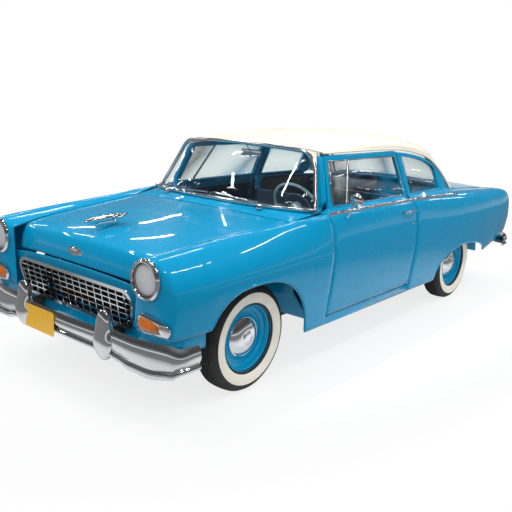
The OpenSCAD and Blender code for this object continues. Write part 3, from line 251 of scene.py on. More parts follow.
def rod(name, points, radius, material, body, closed=False):
    """Round bar through the points."""
    curve = bpy.data.curves.new(name, "CURVE")
    curve.dimensions = "3D"
    curve.bevel_depth, curve.bevel_resolution, curve.use_fill_caps = radius, 3, True
    line = curve.splines.new("POLY")
    line.points.add(len(points) - 1)
    for dot, p in zip(line.points, points):
        dot.co = (*p, 1)
    line.use_cyclic_u = closed
    curve.materials.append(material)
    made = bpy.data.objects.new(name, curve)
    bpy.context.scene.collection.objects.link(made)
    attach(made, body)


def surface_of(node):
    """The finished skin of a panel, to be felt for."""
    return BVHTree.FromObject(skins[node], bpy.context.evaluated_depsgraph_get())


def touch(surface, start, toward, proud=0.0):
    """Where a line from start meets a panel, standing proud of it along its normal."""
    p, normal = surface.ray_cast(Vector(start), Vector(toward))[:2]
    if p is None:
        return None
    normal = normal if normal.dot(Vector(toward)) < 0 else -normal
    return p + proud * normal


def traced(surface, starts, toward, proud=0.0):
    """Where lines from a row of starts meet a panel, without those that miss it."""
    found = [touch(surface, start, toward, proud) for start in starts]
    return [p for p in found if p]


def front_arch(dx):
    """Height of the front arch's edge, dx ahead of the axle."""
    rise = front_arch_z - rocker_z
    if dx >= 0:
        return max(front_edge_z, rocker_z + rise * max(0, 1 - (dx / front_arch_ahead) ** 4) ** 0.4)
    return rocker_z + rise * math.sqrt(max(0, 1 - (dx / front_arch_behind) ** 2))


def rear_arch(dx):
    """Height of the rear arch's edge, dx ahead of the axle."""
    base = rocker_z if dx > 0 else lerp(rocker_z, tail_edge_z, min(1, -dx / tail_reach))
    return base + (rear_arch_z - base) * math.sqrt(max(0, 1 - (dx / rear_arch_half) ** 2))


for side, s in sides:
    for panel, axle, arch, ahead, behind in (("fender", front_axle_x, front_arch, 0.452, 0.470),
                                             ("quarter", rear_axle_x, rear_arch, 0.520, 0.520)):
        steps = [(ahead if k < 24 else behind) * math.cos(math.pi * k / 48) for k in range(49)]
        starts = [(axle + dx, s * outside_y, arch(dx) + 0.010) for dx in steps]
        lip = traced(surface_of(f"{panel}_{side}"), starts, (0, -s, 0), -0.003)
        rod(f"{panel}_arch_lip_{side}", lip, 0.007, blue, "body")

# Fender creases: a ridge pressed into the steel along each fender, from behind the headlamp to the door.
# It is sprayed with the fender and dies away forward.

for side, s in sides:
    fender = surface_of(f"fender_{side}")
    ridge = []
    for k in range(41):
        start = (lerp(2.280, 0.966, k / 40), s * outside_y, lerp(0.772, 0.800, k / 40))
        ridge.append(touch(fender, start, (0, -s, 0), lerp(-0.0075, -0.0045, min(1, k / 10))))
    rod(f"fender_crease_{side}", [p for p in ridge if p], 0.0075, blue, "body")

# Trunk wells: pressed trays welded between the trunk floor and the quarters, with a closing sheet in each
# rear corner. The top edge of the nose sheet is rolled over under the hood's lip.

sheet_steel = 0.0015


def bridged(lines):
    """Open sheet that joins a row of lines, each with the same number of points."""
    b = bmesh.new()
    rows = [[b.verts.new(p) for p in line] for line in lines]
    strings = [[b.edges.new(pair) for pair in zip(row, row[1:])] for row in rows]
    for one, two in zip(strings, strings[1:]):
        bmesh.ops.bridge_loops(b, edges=one + two)
    bmesh.ops.recalc_face_normals(b, faces=b.faces)
    return b


def web(name, lines, thickness, material, body):
    """Sheet of even thickness that joins a row of lines."""
    b = bridged(lines)
    bmesh.ops.solidify(b, geom=b.faces[:], thickness=thickness)
    piece(name, b, material, body, 60)


def felt(node):
    """A node's own surface, to be felt for."""
    b = loose_copy(node)
    tree = BVHTree.FromBMesh(b)
    b.free()
    return tree


for side, s in sides:
    starts = [(lerp(-1.640, -2.350, k / 24), s * 0.5, 0.660) for k in range(25)]
    wall = traced(surface_of(f"quarter_{side}"), starts, (0, s, 0), 0.003)
    web(f"trunk_well_{side}", [[Vector((p.x, s * 0.655, 0.528)) for p in wall],
                               [Vector((p.x, s * 0.720, 0.526)) for p in wall],
                               [Vector((p.x, lerp(s * 0.720, p.y, 0.85), 0.548)) for p in wall],
                               [Vector((p.x, p.y, 0.600)) for p in wall], wall], sheet_steel, blue, "body")
    corner = [lerp(0.690, 0.820, k / 6) for k in range(7)]
    web(f"trunk_corner_{side}",
        [[Vector((-2.352, s * y, z)) for y in corner] for z in (0.512, 0.600, 0.700, 0.800)],
        sheet_steel, blue, "body")
starts = [(2.351, lerp(-0.56, 0.56, k / 40), 0.95) for k in range(41)]
edge = traced(felt("front_panel"), starts, (0, 0, -1))
rod("nose_edge", [p + Vector((0, 0, 0.001)) for p in edge if p.z > 0.70], 0.004, blue, "body")

# Tyres: bias-ply rubber moulded with ribbed treads and a band of pale rubber let into each outer sidewall.
# They are pressed over the rims and turn with them.


def rubber(name, colour, pale):
    """Rubber with a fine moulded grain, greyed a little by dust."""
    finish = Finish(name)
    dust = finish.noise(14.0, 6.0)
    return finish.done({
        "Base Color": finish.mix(finish.ramp(dust, [(0.4, 0.0), (0.8, 0.6)]), colour, pale),
        "Roughness": 0.55 + 0.25 * dust,
        "Normal": finish.bump(finish.noise(600.0, 2.0), 0.0005, 0.3),
    })


black_rubber = rubber("black_rubber", (0.014, 0.014, 0.015), (0.05, 0.048, 0.045))
pale_rubber = rubber("pale_rubber", (0.88, 0.84, 0.74), (0.78, 0.73, 0.61))


def lathe(profile, centre, axis, across, steps=96):
    """Points of radius and depth turned about an axis."""
    b = bmesh.new()
    centre, axis, across = Vector(centre), Vector(axis), Vector(across)
    dots = [b.verts.new(centre + across * r + axis * d) for r, d in profile]
    line = [b.edges.new(pair) for pair in zip(dots, dots[1:])]
    bmesh.ops.spin(b, geom=dots + line, cent=centre, axis=axis, dvec=(0, 0, 0), angle=2 * math.pi,
                   steps=steps, use_merge=True, use_duplicate=False)
    bmesh.ops.remove_doubles(b, verts=b.verts, dist=1e-6)
    bmesh.ops.recalc_face_normals(b, faces=b.faces)
    return b


band_inside, band_outside = 0.2262, 0.2915
groove_depth, groove_top, groove_foot = 0.008, 0.0035, 0.0020
tyre_wall = [(0.1985, 0.054), (0.208, 0.062), (0.216, 0.069), (0.226, 0.0755), (0.227, 0.0765),
             (0.250, 0.0845), (0.272, 0.0868), (0.291, 0.0862), (0.292, 0.0845), (0.306, 0.081),
             (0.318, 0.0745), (0.328, 0.0665), (0.334, 0.056)]
tread = []
for d in (0.045, 0.027, 0.008):
    crown = 0.3418 - 1.6 * d * d
    tread += [(crown, d + groove_top), (crown - groove_depth, d + groove_foot),
              (crown - groove_depth, d - groove_foot), (crown, d - groove_top)]
tyre_half = tyre_wall + tread
tyre_profile = tyre_half + [(r, -d) for r, d in reversed(tyre_half)]
tyre_profile.append(tyre_profile[0])
corners = {"front_left": (front_axle_x, 0.7365, 1), "front_right": (front_axle_x, -0.7365, -1),
           "rear_left": (rear_axle_x, 0.747, 1), "rear_right": (rear_axle_x, -0.747, -1)}
wheel_z = 0.342
for corner, (x, y, out) in corners.items():
    hub = Vector((x, y, wheel_z))
    b = lathe(tyre_profile, hub, (0, out, 0), (0, 0, 1), 128)
    for face in b.faces:
        middle = face.calc_center_median() - hub
        pale = band_inside < math.hypot(middle.x, middle.z) < band_outside and middle.y * out > 0
        face.material_index = 1 if pale else 0
    tyre = piece(f"tyre_{corner}_moulded", b, black_rubber, f"wheel_{corner}", 30)
    tyre.data.materials.append(pale_rubber)
    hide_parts(f"tyre_{corner}")

# Wheels: a pressed steel disc riveted in a drop-centre rim, sprayed body colour, with a sprung-on
# dished cap of plated steel and a rubber valve.


def plating(name, tone, roughness):
    """Bright plate with faint wiping marks."""
    finish = Finish(name)
    smear = finish.noise(22.0, 5.0)
    return finish.done({
        "Base Color": finish.mix(smear, tone, (tone[0] * 0.93, tone[1] * 0.94, tone[2] * 0.96)),
        "Metallic": 1.0,
        "Roughness": roughness + 0.05 * smear,
    })


chrome = plating("chrome", (0.88, 0.89, 0.90), 0.045)
stainless = plating("stainless", (0.80, 0.81, 0.82), 0.13)
rim_profile = [(0.207, 0.0705), (0.2115, 0.0690), (0.2125, 0.0660), (0.2095, 0.0620), (0.204, 0.0590),
               (0.199, 0.0545), (0.1945, 0.0480), (0.1925, 0.0300), (0.180, 0.0240), (0.1685, 0.0195),
               (0.1670, 0.0100), (0.1600, 0.0082), (0.152, 0.0090), (0.140, 0.0125), (0.133, 0.0165),
               (0.126, 0.0190), (0.110, 0.0200), (0.060, 0.0140), (0.0225, 0.0100), (0.0225, 0.0005),
               (0.060, 0.0040), (0.110, 0.0100), (0.150, 0.0030), (0.1640, 0.0020), (0.1670, -0.0195),
               (0.1900, -0.0300), (0.1925, -0.0540), (0.204, -0.0590), (0.2125, -0.0660), (0.207, -0.0705),
               (0.200, -0.0600), (0.1890, -0.0540), (0.1860, -0.0300), (0.163, -0.0200), (0.163, 0.0020)]
cap_profile = [(0.1285, 0.0175), (0.1310, 0.0180), (0.1312, 0.0205), (0.1290, 0.0240), (0.1235, 0.0268),
               (0.1215, 0.0262), (0.1185, 0.0290), (0.108, 0.0368), (0.096, 0.0446), (0.082, 0.0512),
               (0.066, 0.0560), (0.052, 0.0582), (0.048, 0.0582), (0.046, 0.0570), (0.042, 0.0575),
               (0.036, 0.0602), (0.024, 0.0622), (0.012, 0.0629), (0.0, 0.0630)]
for corner, (x, y, out) in corners.items():
    hub = Vector((x, y, wheel_z))
    body = f"wheel_{corner}"
    rim = piece(f"rim_{corner}", lathe(rim_profile, hub, (0, out, 0), (0, 0, 1)), blue, body, 30)
    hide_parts(f"wheel_{corner}")
    piece(f"hubcap_{corner}", lathe(cap_profile, hub, (0, out, 0), (0, 0, 1)), chrome, body, 30)
    valve = [hub + Vector((0.178, out * 0.020, 0)), hub + Vector((0.170, out * 0.046, 0))]
    rod(f"valve_{corner}", valve, 0.0035, black_rubber, body)

# Bumpers: a heavy bar rolled from spring steel, lower lip curled, ends wrapped round the corners. Two
# upright guards bolt through each bar. All plated.

bumper_x, wrap, bumper_half, bumper_steel = 2.440, 0.240, 0.916, 0.006
guard_x, guard_y = 2.436, 0.400
face_line = [(0, 0.002), (0.02, 0.013), (0.06, 0.021), (0.12, 0.0245), (0.18, 0.0235), (0.22, 0.018),
             (0.245, 0.011), (0.27, 0.0085), (0.32, 0.0115), (0.42, 0.0185), (0.52, 0.022), (0.66, 0.0215),
             (0.80, 0.0165), (0.91, 0.0085), (1, -0.004)]
front_edges = ([(0, 0.350), (0.40, 0.348), (0.50, 0.328), (0.62, 0.302), (0.78, 0.290), (0.93, 0.306),
                (1, 0.338)],
               [(0, 0.478), (0.38, 0.486), (0.46, 0.502), (0.56, 0.498), (0.66, 0.494), (0.92, 0.498),
                (1, 0.478)])
rear_edges = ([(0, 0.388), (0.5, 0.384), (0.9, 0.372), (1, 0.384)], [(0, 0.506), (0.8, 0.508), (1, 0.496)])


def level_at(edge, s):
    """Height on a broken line, its corners eased."""
    for (s0, z0), (s1, z1) in zip(edge, edge[1:]):
        if s <= s1:
            t = (s - s0) / (s1 - s0)
            return lerp(z0, z1, t * t * (3 - 2 * t))
    return edge[-1][1]


def bumper_point(a, face, edges):
    """Point on a bar at an angle from its middle, for a share of its height and how far that stands out."""
    s, c = abs(math.sin(a)), max(0.0001, math.cos(a)) ** 0.36
    height, forward = face
    return Vector((bumper_x - wrap + (wrap + forward) * c,
                   math.copysign((bumper_half + forward * s) * s ** 0.85, a),
                   lerp(level_at(edges[0], s), level_at(edges[1], s), height)))


def carved(name, shape, around, rings, body, sharp=60):
    """Plated casting: a ball whose points go where shape says."""
    b = bmesh.new()
    bmesh.ops.create_uvsphere(b, u_segments=around, v_segments=rings, radius=1)
    for v in b.verts:
        v.co = shape(v.co)
    bmesh.ops.recalc_face_normals(b, faces=b.faces)
    return piece(name, b, chrome, body, sharp)


def bumper(node, edges, low, high, ahead):
    """A bar with its two guards, which stand between low and high."""
    b = bridged([[bumper_point(lerp(-1, 1, k / 120) * math.pi / 2, face, edges) for face in face_line]
                 for k in range(121)])
    if max(b.faces, key=lambda f: f.calc_center_median().x).normal.x < 0:
        bmesh.ops.reverse_faces(b, faces=b.faces)
    bmesh.ops.solidify(b, geom=b.faces[:], thickness=bumper_steel)
    if ahead < 0:
        bmesh.ops.scale(b, vec=(-1, 1, 1), verts=b.verts)
        bmesh.ops.reverse_faces(b, faces=b.faces)
    bar = piece(node + "_bar", b, chrome, "body", 50)
    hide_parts(node)
    for side, s in sides:
        def guard_point(ball):
            ring = math.hypot(ball.x, ball.y)
            fore, out = (ball.x / ring, ball.y / ring) if ring > 1e-5 else (0, 0)
            taper = max(0, 1 - abs(ball.z) ** 4) ** 0.5
            swell = math.exp(-((ball.z + 0.30) / 0.42) ** 2)
            deep = taper * lerp(0.036, 0.046, swell) * math.copysign(abs(fore) ** 0.8, fore)
            wide = taper * lerp(0.055, 0.082, swell) * math.copysign(abs(out) ** 0.8, out)
            return Vector((ahead * (guard_x + deep), s * guard_y + wide, lerp(low, high, 0.5 + ball.z / 2)))

        carved(f"{node}_guard_{side}", guard_point, 48, 36, "body", 180)


bumper("front_bumper", front_edges, 0.306, 0.606, 1)
bumper("rear_bumper", rear_edges, 0.352, 0.566, -1)

# Corner valances: pressed sheets screwed up inside the lower edges of the fenders, closing the space behind
# the ends of the front bumper.

valance_line = [(2.296, 0.505), (2.330, 0.545), (2.356, 0.590), (2.364, 0.640), (2.366, 0.720),
                (2.364, 0.790), (2.352, 0.842), (2.320, 0.868), (2.270, 0.874), (2.200, 0.882),
                (2.128, 0.888)]
valance_tucks = ((0, 0.546), (0.002, 0.490), (0.016, 0.440), (0.050, 0.405))
for side, s in sides:
    web(f"corner_valance_{side}", [[Vector((x - tuck, s * (y - tuck), z)) for x, y in valance_line]
                                   for tuck, z in valance_tucks], sheet_steel, blue, "body")

# Number plates: blank sheets of steel pressed with a rolled rim and sprayed. Each is held to a bumper bar by
# two plated screws.

plate_finish = Finish("plate_paint")
speckle = plate_finish.noise(30.0, 5.0)
plate_paint = plate_finish.done({
    "Base Color": plate_finish.mix(speckle, (0.98, 0.55, 0.03), (0.94, 0.51, 0.025)),
    "Roughness": 0.28 + 0.15 * speckle,
    "Coat Weight": 0.4,
})
plate_width, plate_height = 0.305, 0.152
screw_profile = [(0.006, 0), (0.006, 0.002), (0.004, 0.0036), (0, 0.004)]


def number_plate(name, x, y, z, ahead):
    """Blank plate that faces ahead, or back where ahead is -1, with its two screws."""
    b = bmesh.new()
    bmesh.ops.create_grid(b, x_segments=1, y_segments=1, size=0.5)
    bmesh.ops.scale(b, vec=(plate_width, plate_height, 1), verts=b.verts)
    bmesh.ops.bevel(b, geom=b.verts[:], offset=0.016, segments=5, profile=0.5, affect="VERTICES", material=-1)
    bmesh.ops.inset_region(b, faces=b.faces[:], thickness=0.004)
    middle = max(b.faces, key=lambda f: f.calc_area())
    bmesh.ops.inset_region(b, faces=[middle], thickness=0.003)
    bmesh.ops.translate(b, vec=(0, 0, -0.0022), verts=middle.verts)
    bmesh.ops.solidify(b, geom=b.faces[:], thickness=-0.0012)
    turn = Matrix(((0, 0, ahead), (ahead, 0, 0), (0, 1, 0)))
    bmesh.ops.transform(b, matrix=Matrix.Translation((x, y, z)) @ turn.to_4x4(), verts=b.verts)
    piece(name, b, plate_paint, "body", 40)
    for side, s in reversed(sides):
        place = (x - ahead * 0.001, y + s * 0.090, z + 0.052)
        screw = lathe(screw_profile, place, (ahead, 0, 0), (0, 0, 1), 20)
        piece(f"{name}_screw_{side}", screw, stainless, "body")


number_plate("front_plate", 2.4665, -0.198, 0.400, 1)
number_plate("rear_plate", -2.4665, 0.0, 0.446, -1)

# Grille: bars halved together in a die-cast surround, all plated. Behind it stand a black sheet-metal baffle,
# which is partly painted shade that darkens the cells between the bars, and the radiator core, brass fins
# between two tanks, sprayed matt black.

turned_out("grille", "body", chrome, 30)
fins = Finish("radiator_black")
fin_lines = fins.bands("Z", 260.0)
radiator_black = fins.done({
    "Base Color": fins.mix(fin_lines, (0.004, 0.004, 0.004), (0.012, 0.012, 0.012)),
    "Roughness": 0.6 + 0.2 * fin_lines,
    "Normal": fins.bump(fin_lines, 0.002, 0.6),
})


def block(name, size, centre, rounding, steps, material, body, lean=0.0):
    """Box with rounded edges, leaning back by an angle."""
    b = bmesh.new()
    bmesh.ops.create_cube(b, size=1)
    bmesh.ops.scale(b, vec=size, verts=b.verts)
    bmesh.ops.bevel(b, geom=b.edges[:], offset=rounding, segments=steps, profile=0.5, affect="EDGES",
                    material=-1)
    bmesh.ops.rotate(b, cent=(0, 0, 0), matrix=Matrix.Rotation(lean, 3, "Y"), verts=b.verts)
    bmesh.ops.translate(b, vec=centre, verts=b.verts)
    piece(name, b, material, body)


block("radiator", (0.060, 1.02, 0.340), (2.190, 0, 0.640), 0.008, 2, radiator_black, "body")
# Painted shade: a near-black sheet across the whole opening, so the cells between the grille bars read dark.
block("grille_shade_baffle", (0.003, 1.090, 0.250), (2.300, 0, 0.612), 0.001, 2, radiator_black, "body",
      math.radians(10))

# Lamps: sealed-beam glass in plated rims with a black gasket, amber wedges under them, red lenses behind.
# Reflector bowls are pressed steel, silvered inside.


def moulded_lens(name, colour, ribs, relief):
    """Coloured lens with moulded flutes and a clear face."""
    finish = Finish(name)
    flutes = finish.bands("Y", ribs)
    return finish.done({
        "Base Color": finish.mix(flutes, colour, (colour[0] * 0.6, colour[1] * 0.55, colour[2] * 0.5)),
        "Roughness": 0.10 + 0.08 * flutes,
        "Coat Weight": 1.0,
        "Normal": finish.bump(flutes, 0.0015, relief),
    })


amber = moulded_lens("amber_lens", (0.85, 0.22, 0.012), 55.0, 0.5)
red = moulded_lens("red_lens", (0.36, 0.006, 0.008), 60.0, 0.4)
beam = Finish("headlamp_glass")
flutes = beam.bands("Y", 62.0)
prisms = beam.bands("Z", 34.0)
relief = beam.bump(flutes + prisms, 0.0016, 0.5)
slant = beam.node("ShaderNodeLayerWeight", {}, {"Normal": relief}, "Facing")
clear = beam.node("ShaderNodeBsdfTransparent", {}, {0: (0.96, 0.98, 0.98, 1)})
milky = beam.node("ShaderNodeBsdfDiffuse", {}, {0: (0.97, 0.98, 0.99, 1)})
fluted = beam.node("ShaderNodeMixShader", {}, {0: 0.52 + 0.44 * flutes * prisms, 1: clear, 2: milky})
shine = beam.node("ShaderNodeBsdfGlossy", {},
                  {"Color": (0.92, 0.95, 0.97, 1), "Roughness": 0.09, "Normal": relief})
headlamp_glass = beam.surface(beam.node("ShaderNodeMixShader", {},
                                        {0: 0.10 + 0.6 * slant * slant, 1: fluted, 2: shine}))
silver = Finish("silvered")
haze = silver.noise(30.0, 4.0)
silvered = silver.done({
    "Base Color": silver.mix(haze, (0.93, 0.94, 0.95), (0.88, 0.89, 0.90)),
    "Metallic": 0.45,
    "Roughness": 0.22 + 0.08 * haze,
})
gasket = rubber("gasket", (0.010, 0.010, 0.011), (0.02, 0.02, 0.02))
turned_out("lamp_bezels", "body", chrome, 30)
turned_out("headlamp_lenses", "body", headlamp_glass, 60)
turned_out("parking_lenses", "body", amber, 40)
turned_out("tail_lenses", "body", red, 40)
lamp_face, headlamp_y, headlamp_z = 2.406, 0.714, 0.834
bowl = [(0.0875, -0.0145), (0.080, -0.026), (0.066, -0.040), (0.046, -0.052), (0.022, -0.059), (0.0, -0.061)]


def hoop(radius, depth, thick, steps):
    """Closed profile of a round ring, to be turned."""
    turns = [2 * math.pi * k / steps for k in range(steps + 1)]
    return [(radius + thick * math.cos(a), depth + thick * math.sin(a)) for a in turns]


for side, s in sides:
    centre = (lamp_face, s * headlamp_y, headlamp_z)
    piece(f"reflector_{side}", lathe(bowl, centre, (1, 0, 0), (0, 0, 1), 64), silvered, "body")
    ring = lathe(hoop(0.0895, 0.0115, 0.0026, 12), centre, (1, 0, 0), (0, 0, 1), 96)
    piece(f"headlamp_gasket_{side}", ring, gasket, "body", 180)

# Windows: laminated glass in front and plain toughened glass elsewhere, all faintly green. The fixed panes
# are set in rubber, and those of the doors slide in channels of felt.

pane = Finish("window_glass")
seen = pane.node("ShaderNodeBsdfTransparent", {}, {0: (0.94, 0.97, 0.965, 1)})
shine = pane.node("ShaderNodeBsdfGlossy", {}, {"Color": (0.95, 0.97, 0.98, 1), "Roughness": 0.02})
slant = pane.node("ShaderNodeLayerWeight", out="Facing")
gloss = 0.03 + 0.7 * slant * slant * slant * slant
window_glass = pane.surface(pane.node("ShaderNodeMixShader", {}, {0: gloss, 1: seen, 2: shine}))
for node in ("windshield", "rear_window", "quarter_glass"):
    turned_out(node, "body", window_glass, 50)
for side, s in sides:
    turned_out(f"door_glass_{side}", f"door_{side}", window_glass, 50)

# Bright mouldings: rolled stainless strips clipped along the belt, round the windshield and rear window, on
# the window frames and as the dividers of the vent windows. The drip rail and the window corners are folded
# steel sprayed with the roof.

belt_z, drip_z, header_z, over_belt_z = 1.040, 1.422, 1.418, 1.3
post_x, header_x = 0.839, 0.739
glass_foot, glass_head = 0.028, 0.955
drip_line = [(header_x, header_z), (0.050, drip_z), (-0.412, 1.402), (-0.792, 1.330), (-0.992, 1.207),
             (-1.122, 1.046)]
roof_line = [(header_x + 0.118, header_z + 0.044), (0.050, 1.529), (-0.442, 1.525), (-1.072, 1.445)]
reveal_line = [(0.775, 1.069), (0.698, 1.361), (-0.203, 1.361), (-0.203, 1.069)]
divider_line = [(0.597, 1.067), (0.450, 1.363)]


def along(points, u):
    """Smooth line through the points at u points along."""
    n = len(points) - 1
    i = min(int(u), n - 1)
    a, b, c, d = (Vector(points[k]) for k in (max(i - 1, 0), i, i + 1, min(i + 2, n)))
    t = u - i
    return (b + t * (c - a) / 2 + t * t * (a - 2.5 * b + 2 * c - d / 2)
            + t * t * t * (1.5 * (b - c) + (d - a) / 2))


def on_side(x, z):
    """Point on the leaning side of the cabin."""
    return Vector((x, lerp(0.808, 0.655, (z - belt_z) / (drip_z - belt_z)) - 0.034 * (x + 0.1) ** 2, z))


def drip(u):
    """Point u along the drip rail."""
    return on_side(*along(drip_line, u))


def roof_point(u, a):
    """Point on the roof at an angle up from the drip rail's point u."""
    e, c = drip(u), along(roof_line, u)
    return Vector((lerp(e.x, c.x, math.sin(a)), e.y * math.cos(a), e.z + (c.y - e.z) * math.sin(a) ** 0.7))


def shield_base(a):
    """Foot of the windshield at an angle from its middle."""
    c = math.cos(a)
    return Vector((post_x + 0.350 * c ** 0.62, (on_side(post_x, belt_z).y - 0.006) * math.sin(a),
                   belt_z + 0.014 * c))


def shield_top(a):
    """Head of the windshield at an angle from its middle."""
    c = math.cos(a)
    return Vector((header_x + 0.014 + 0.104 * c ** 0.5, (on_side(header_x, header_z).y - 0.006) * math.sin(a),
                   header_z + 0.044 * c ** 0.8))


def back_base(a):
    """Foot of the rear window at an angle from its middle."""
    c = math.cos(a)
    return Vector((-1.302 - 0.150 * c ** 0.8, 0.610 * math.sin(a), 1.026 + 0.018 * c))


def back_top(a):
    """Head of the rear window at an angle from its middle."""
    p = roof_point(3, lerp(math.radians(42), math.pi / 2, 1 - abs(a) / (math.pi / 2)))
    return Vector((p.x, math.copysign(p.y, a), p.z))


def on_glass(low, high, push, degrees, t):
    """Point some degrees round a pane and t of the way up it, pushed off the glass."""
    a = math.radians(degrees)
    return lerp(low(a), high(a), t) + push


def corner_arc(reach, turn, drop, steps):
    """Degrees and height along a pane's rounded top corner, from its side to its top."""
    turns = [math.pi / 2 * k / steps for k in range(steps + 1)]
    return [(reach - turn + turn * math.cos(a), glass_head - drop + drop * math.sin(a)) for a in turns]


def framed(low, high, push, reach, turn, drop):
    """Closed line round a pane of glass whose top corners are rounded over turn degrees and a drop."""
    arc = corner_arc(reach, turn, drop, 12)
    shoulder = glass_head - drop
    bottom = [(lerp(-reach, reach, k / 40), glass_foot) for k in range(41)]
    left = [(reach, lerp(glass_foot, shoulder, k / 6)) for k in range(1, 6)]
    top = [(lerp(turn - reach, reach - turn, k / 30), glass_head) for k in range(29, 0, -1)]
    far_arc = [(-degrees, t) for degrees, t in reversed(arc)]
    right = [(-reach, lerp(shoulder, glass_foot, k / 6)) for k in range(1, 6)]
    return [on_glass(low, high, push, *p) for p in bottom + left + arc + top + far_arc + right]


for name, low, high, push, reach, turn, drop, size in (
        ("windshield", shield_base, shield_top, Vector((0.007, 0, 0.003)), 80, 24, 0.30, 0.0145),
        ("rear_window", back_base, back_top, Vector((-0.007, 0, 0.003)), 84, 20, 0.22, 0.011)):
    rod(f"{name}_surround", framed(low, high, push, reach, turn, drop), size, stainless, "body", True)
    square = [(reach + 2 - turn * max(0, k - 8) / 8, glass_head - drop + (drop + 0.03) * min(1, k / 8))
              for k in range(17)]
    for side, s in sides:
        flip = Vector((1, s, 1))
        web(f"{name}_corner_{side}", [[flip * on_glass(low, high, 0.8 * push, *p) for p in line]
                                      for line in (corner_arc(reach, turn, drop, 16), square)],
            0.002, ivory, "body")
for side, s in sides:
    flip = Vector((1, s, 1))
    starts = [(lerp(0.938, -0.246, k / 30), s * 0.850, over_belt_z) for k in range(31)]
    belt = traced(surface_of(f"door_{side}"), starts, (0, 0, -1))
    rod(f"belt_moulding_{side}", belt, 0.013, stainless, f"door_{side}")
    starts = [(lerp(-0.266, -1.130, k / 30), s * lerp(0.850, 0.838, k / 30), over_belt_z) for k in range(31)]
    belt = traced(surface_of(f"quarter_{side}"), starts, (0, 0, -1))
    rod(f"quarter_moulding_{side}", belt, 0.013, stainless, "body")
    sill = [p for p in belt if p.x > -1.075]
    web(f"quarter_sill_{side}",
        [sill, [flip * on_side(p.x, 1.056) - Vector((0, s * 0.004, 0)) for p in sill]], 0.002, blue, "body")
    rail = [flip * (drip(5 * k / 60) + Vector((0, 0.004, -0.002))) for k in range(61)]
    rod(f"drip_rail_{side}", rail, 0.0065, ivory, "body")
    reveal = [flip * (on_side(*p) + Vector((0, 0.001, 0))) for p in reveal_line]
    rod(f"door_window_reveal_{side}", reveal, 0.005, stainless, f"door_{side}", True)
    divider = [flip * (on_side(*p) - Vector((0, 0.008, 0))) for p in divider_line]
    rod(f"vent_divider_{side}", divider, 0.0085, stainless, f"door_{side}")

# Wipers: sprung stainless arms on splined pivots that come up through the cowl. Each carries a rubber blade
# in a bright holder.

pivot_profile = [(0.020, 0), (0.020, 0.008), (0.016, 0.020), (0.010, 0.027), (0, 0.028)]
for side, s in sides:
    flip = Vector((1, s, 1))
    foot = flip * (shield_base(math.radians(36)) + Vector((0.040, 0, 0.004)))
    knuckle = foot + Vector((0, 0, 0.018))
    blade = [flip * on_glass(shield_base, shield_top, Vector((0.020, 0, 0.004)), lerp(33, 3, k / 12),
                             lerp(0.070, 0.105, k / 12)) for k in range(13)]
    pivot = lathe(pivot_profile, foot - Vector((0, 0, 0.006)), (0, 0, 1), (1, 0, 0), 28)
    piece(f"wiper_pivot_{side}", pivot, chrome, "body")
    elbow = lerp(knuckle, blade[7], 0.5) + Vector((0.008, 0, 0.010))
    rod(f"wiper_arm_{side}", [knuckle, elbow, blade[7] + Vector((0.006, 0, 0))], 0.0055, chrome, "body")
    rod(f"wiper_blade_{side}", blade, 0.0058, stainless, "body")
    rod(f"wiper_rubber_{side}", [p - Vector((0.009, 0, 0)) for p in blade], 0.0045, gasket, "body")

# Hood and trunk fittings: a cast winged ornament on the hood, a plain oval boss over the grille and a lift
# handle on the trunk lid. All are plated castings held by studs and nuts from inside.

hood = surface_of("hood")
ornament_x = 2.105
ornament_profile = [(0.0, 0.171), (0.005, 0.168), (0.011, 0.150), (0.018, 0.105), (0.0225, 0.040),
                    (0.022, -0.020), (0.017, -0.085), (0.011, -0.140), (0.007, -0.166), (0.0, -0.170)]
boss_profile = [(0.036, 0), (0.036, 0.003), (0.031, 0.008), (0.028, 0.0075), (0.020, 0.010), (0.0, 0.013)]


def hood_top(x):
    """Point on the hood's middle line."""
    return touch(hood, (x, 0, 1.4), (0, 0, -1))


flight = hood_top(2.10).z + 0.056
b = lathe(ornament_profile, (0, 0, 0), (1, 0, 0), (0, 0, 1), 40)
bmesh.ops.rotate(b, cent=(0, 0, 0), matrix=Matrix.Rotation(0.05, 3, "Y"), verts=b.verts)
bmesh.ops.translate(b, vec=(2.106, 0, flight), verts=b.verts)
ornament = piece("ornament_body", b, chrome, "hood", 60)
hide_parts("hood_ornament")
for side, s in sides:
    def wing_point(ball):
        out = 0.5 + ball.y / 2
        return Vector((2.080 - 0.085 * out + ball.x * lerp(0.070, 0.030, out), s * 0.060 * out,
                       flight + 0.010 * out + ball.z * lerp(0.0085, 0.0035, out)))

    carved(f"ornament_wing_{side}", wing_point, 32, 16, "hood")


def foot_point(ball):
    up = 0.5 + ball.z / 2
    return Vector((ornament_x + ball.x * lerp(0.115, 0.060, up), ball.y * lerp(0.011, 0.007, up),
                   lerp(hood_top(ornament_x).z - 0.001, flight, up)))


carved("ornament_foot", foot_point, 32, 16, "hood")
b = lathe(boss_profile, (0, 0, 0), (1, 0, 0), (0, 0, 1), 48)
bmesh.ops.scale(b, vec=(1, 1.9, 0.75), verts=b.verts)
bmesh.ops.translate(b, vec=touch(hood, (2.6, 0, 0.846), (-1, 0, 0), -0.002), verts=b.verts)
piece("nose_boss", b, chrome, "hood")
grip = touch(surface_of("trunk_lid"), (-2.7, 0, 0.735), (1, 0, 0), 0.001)
block("trunk_handle", (0.018, 0.150, 0.034), grip, 0.0075, 4, chrome, "trunk_lid")

# Door fittings: plated cast handles on two feet, each with a key lock below, and on the left a round mirror
# on a stalk. They are screwed through the door's outer sheet.

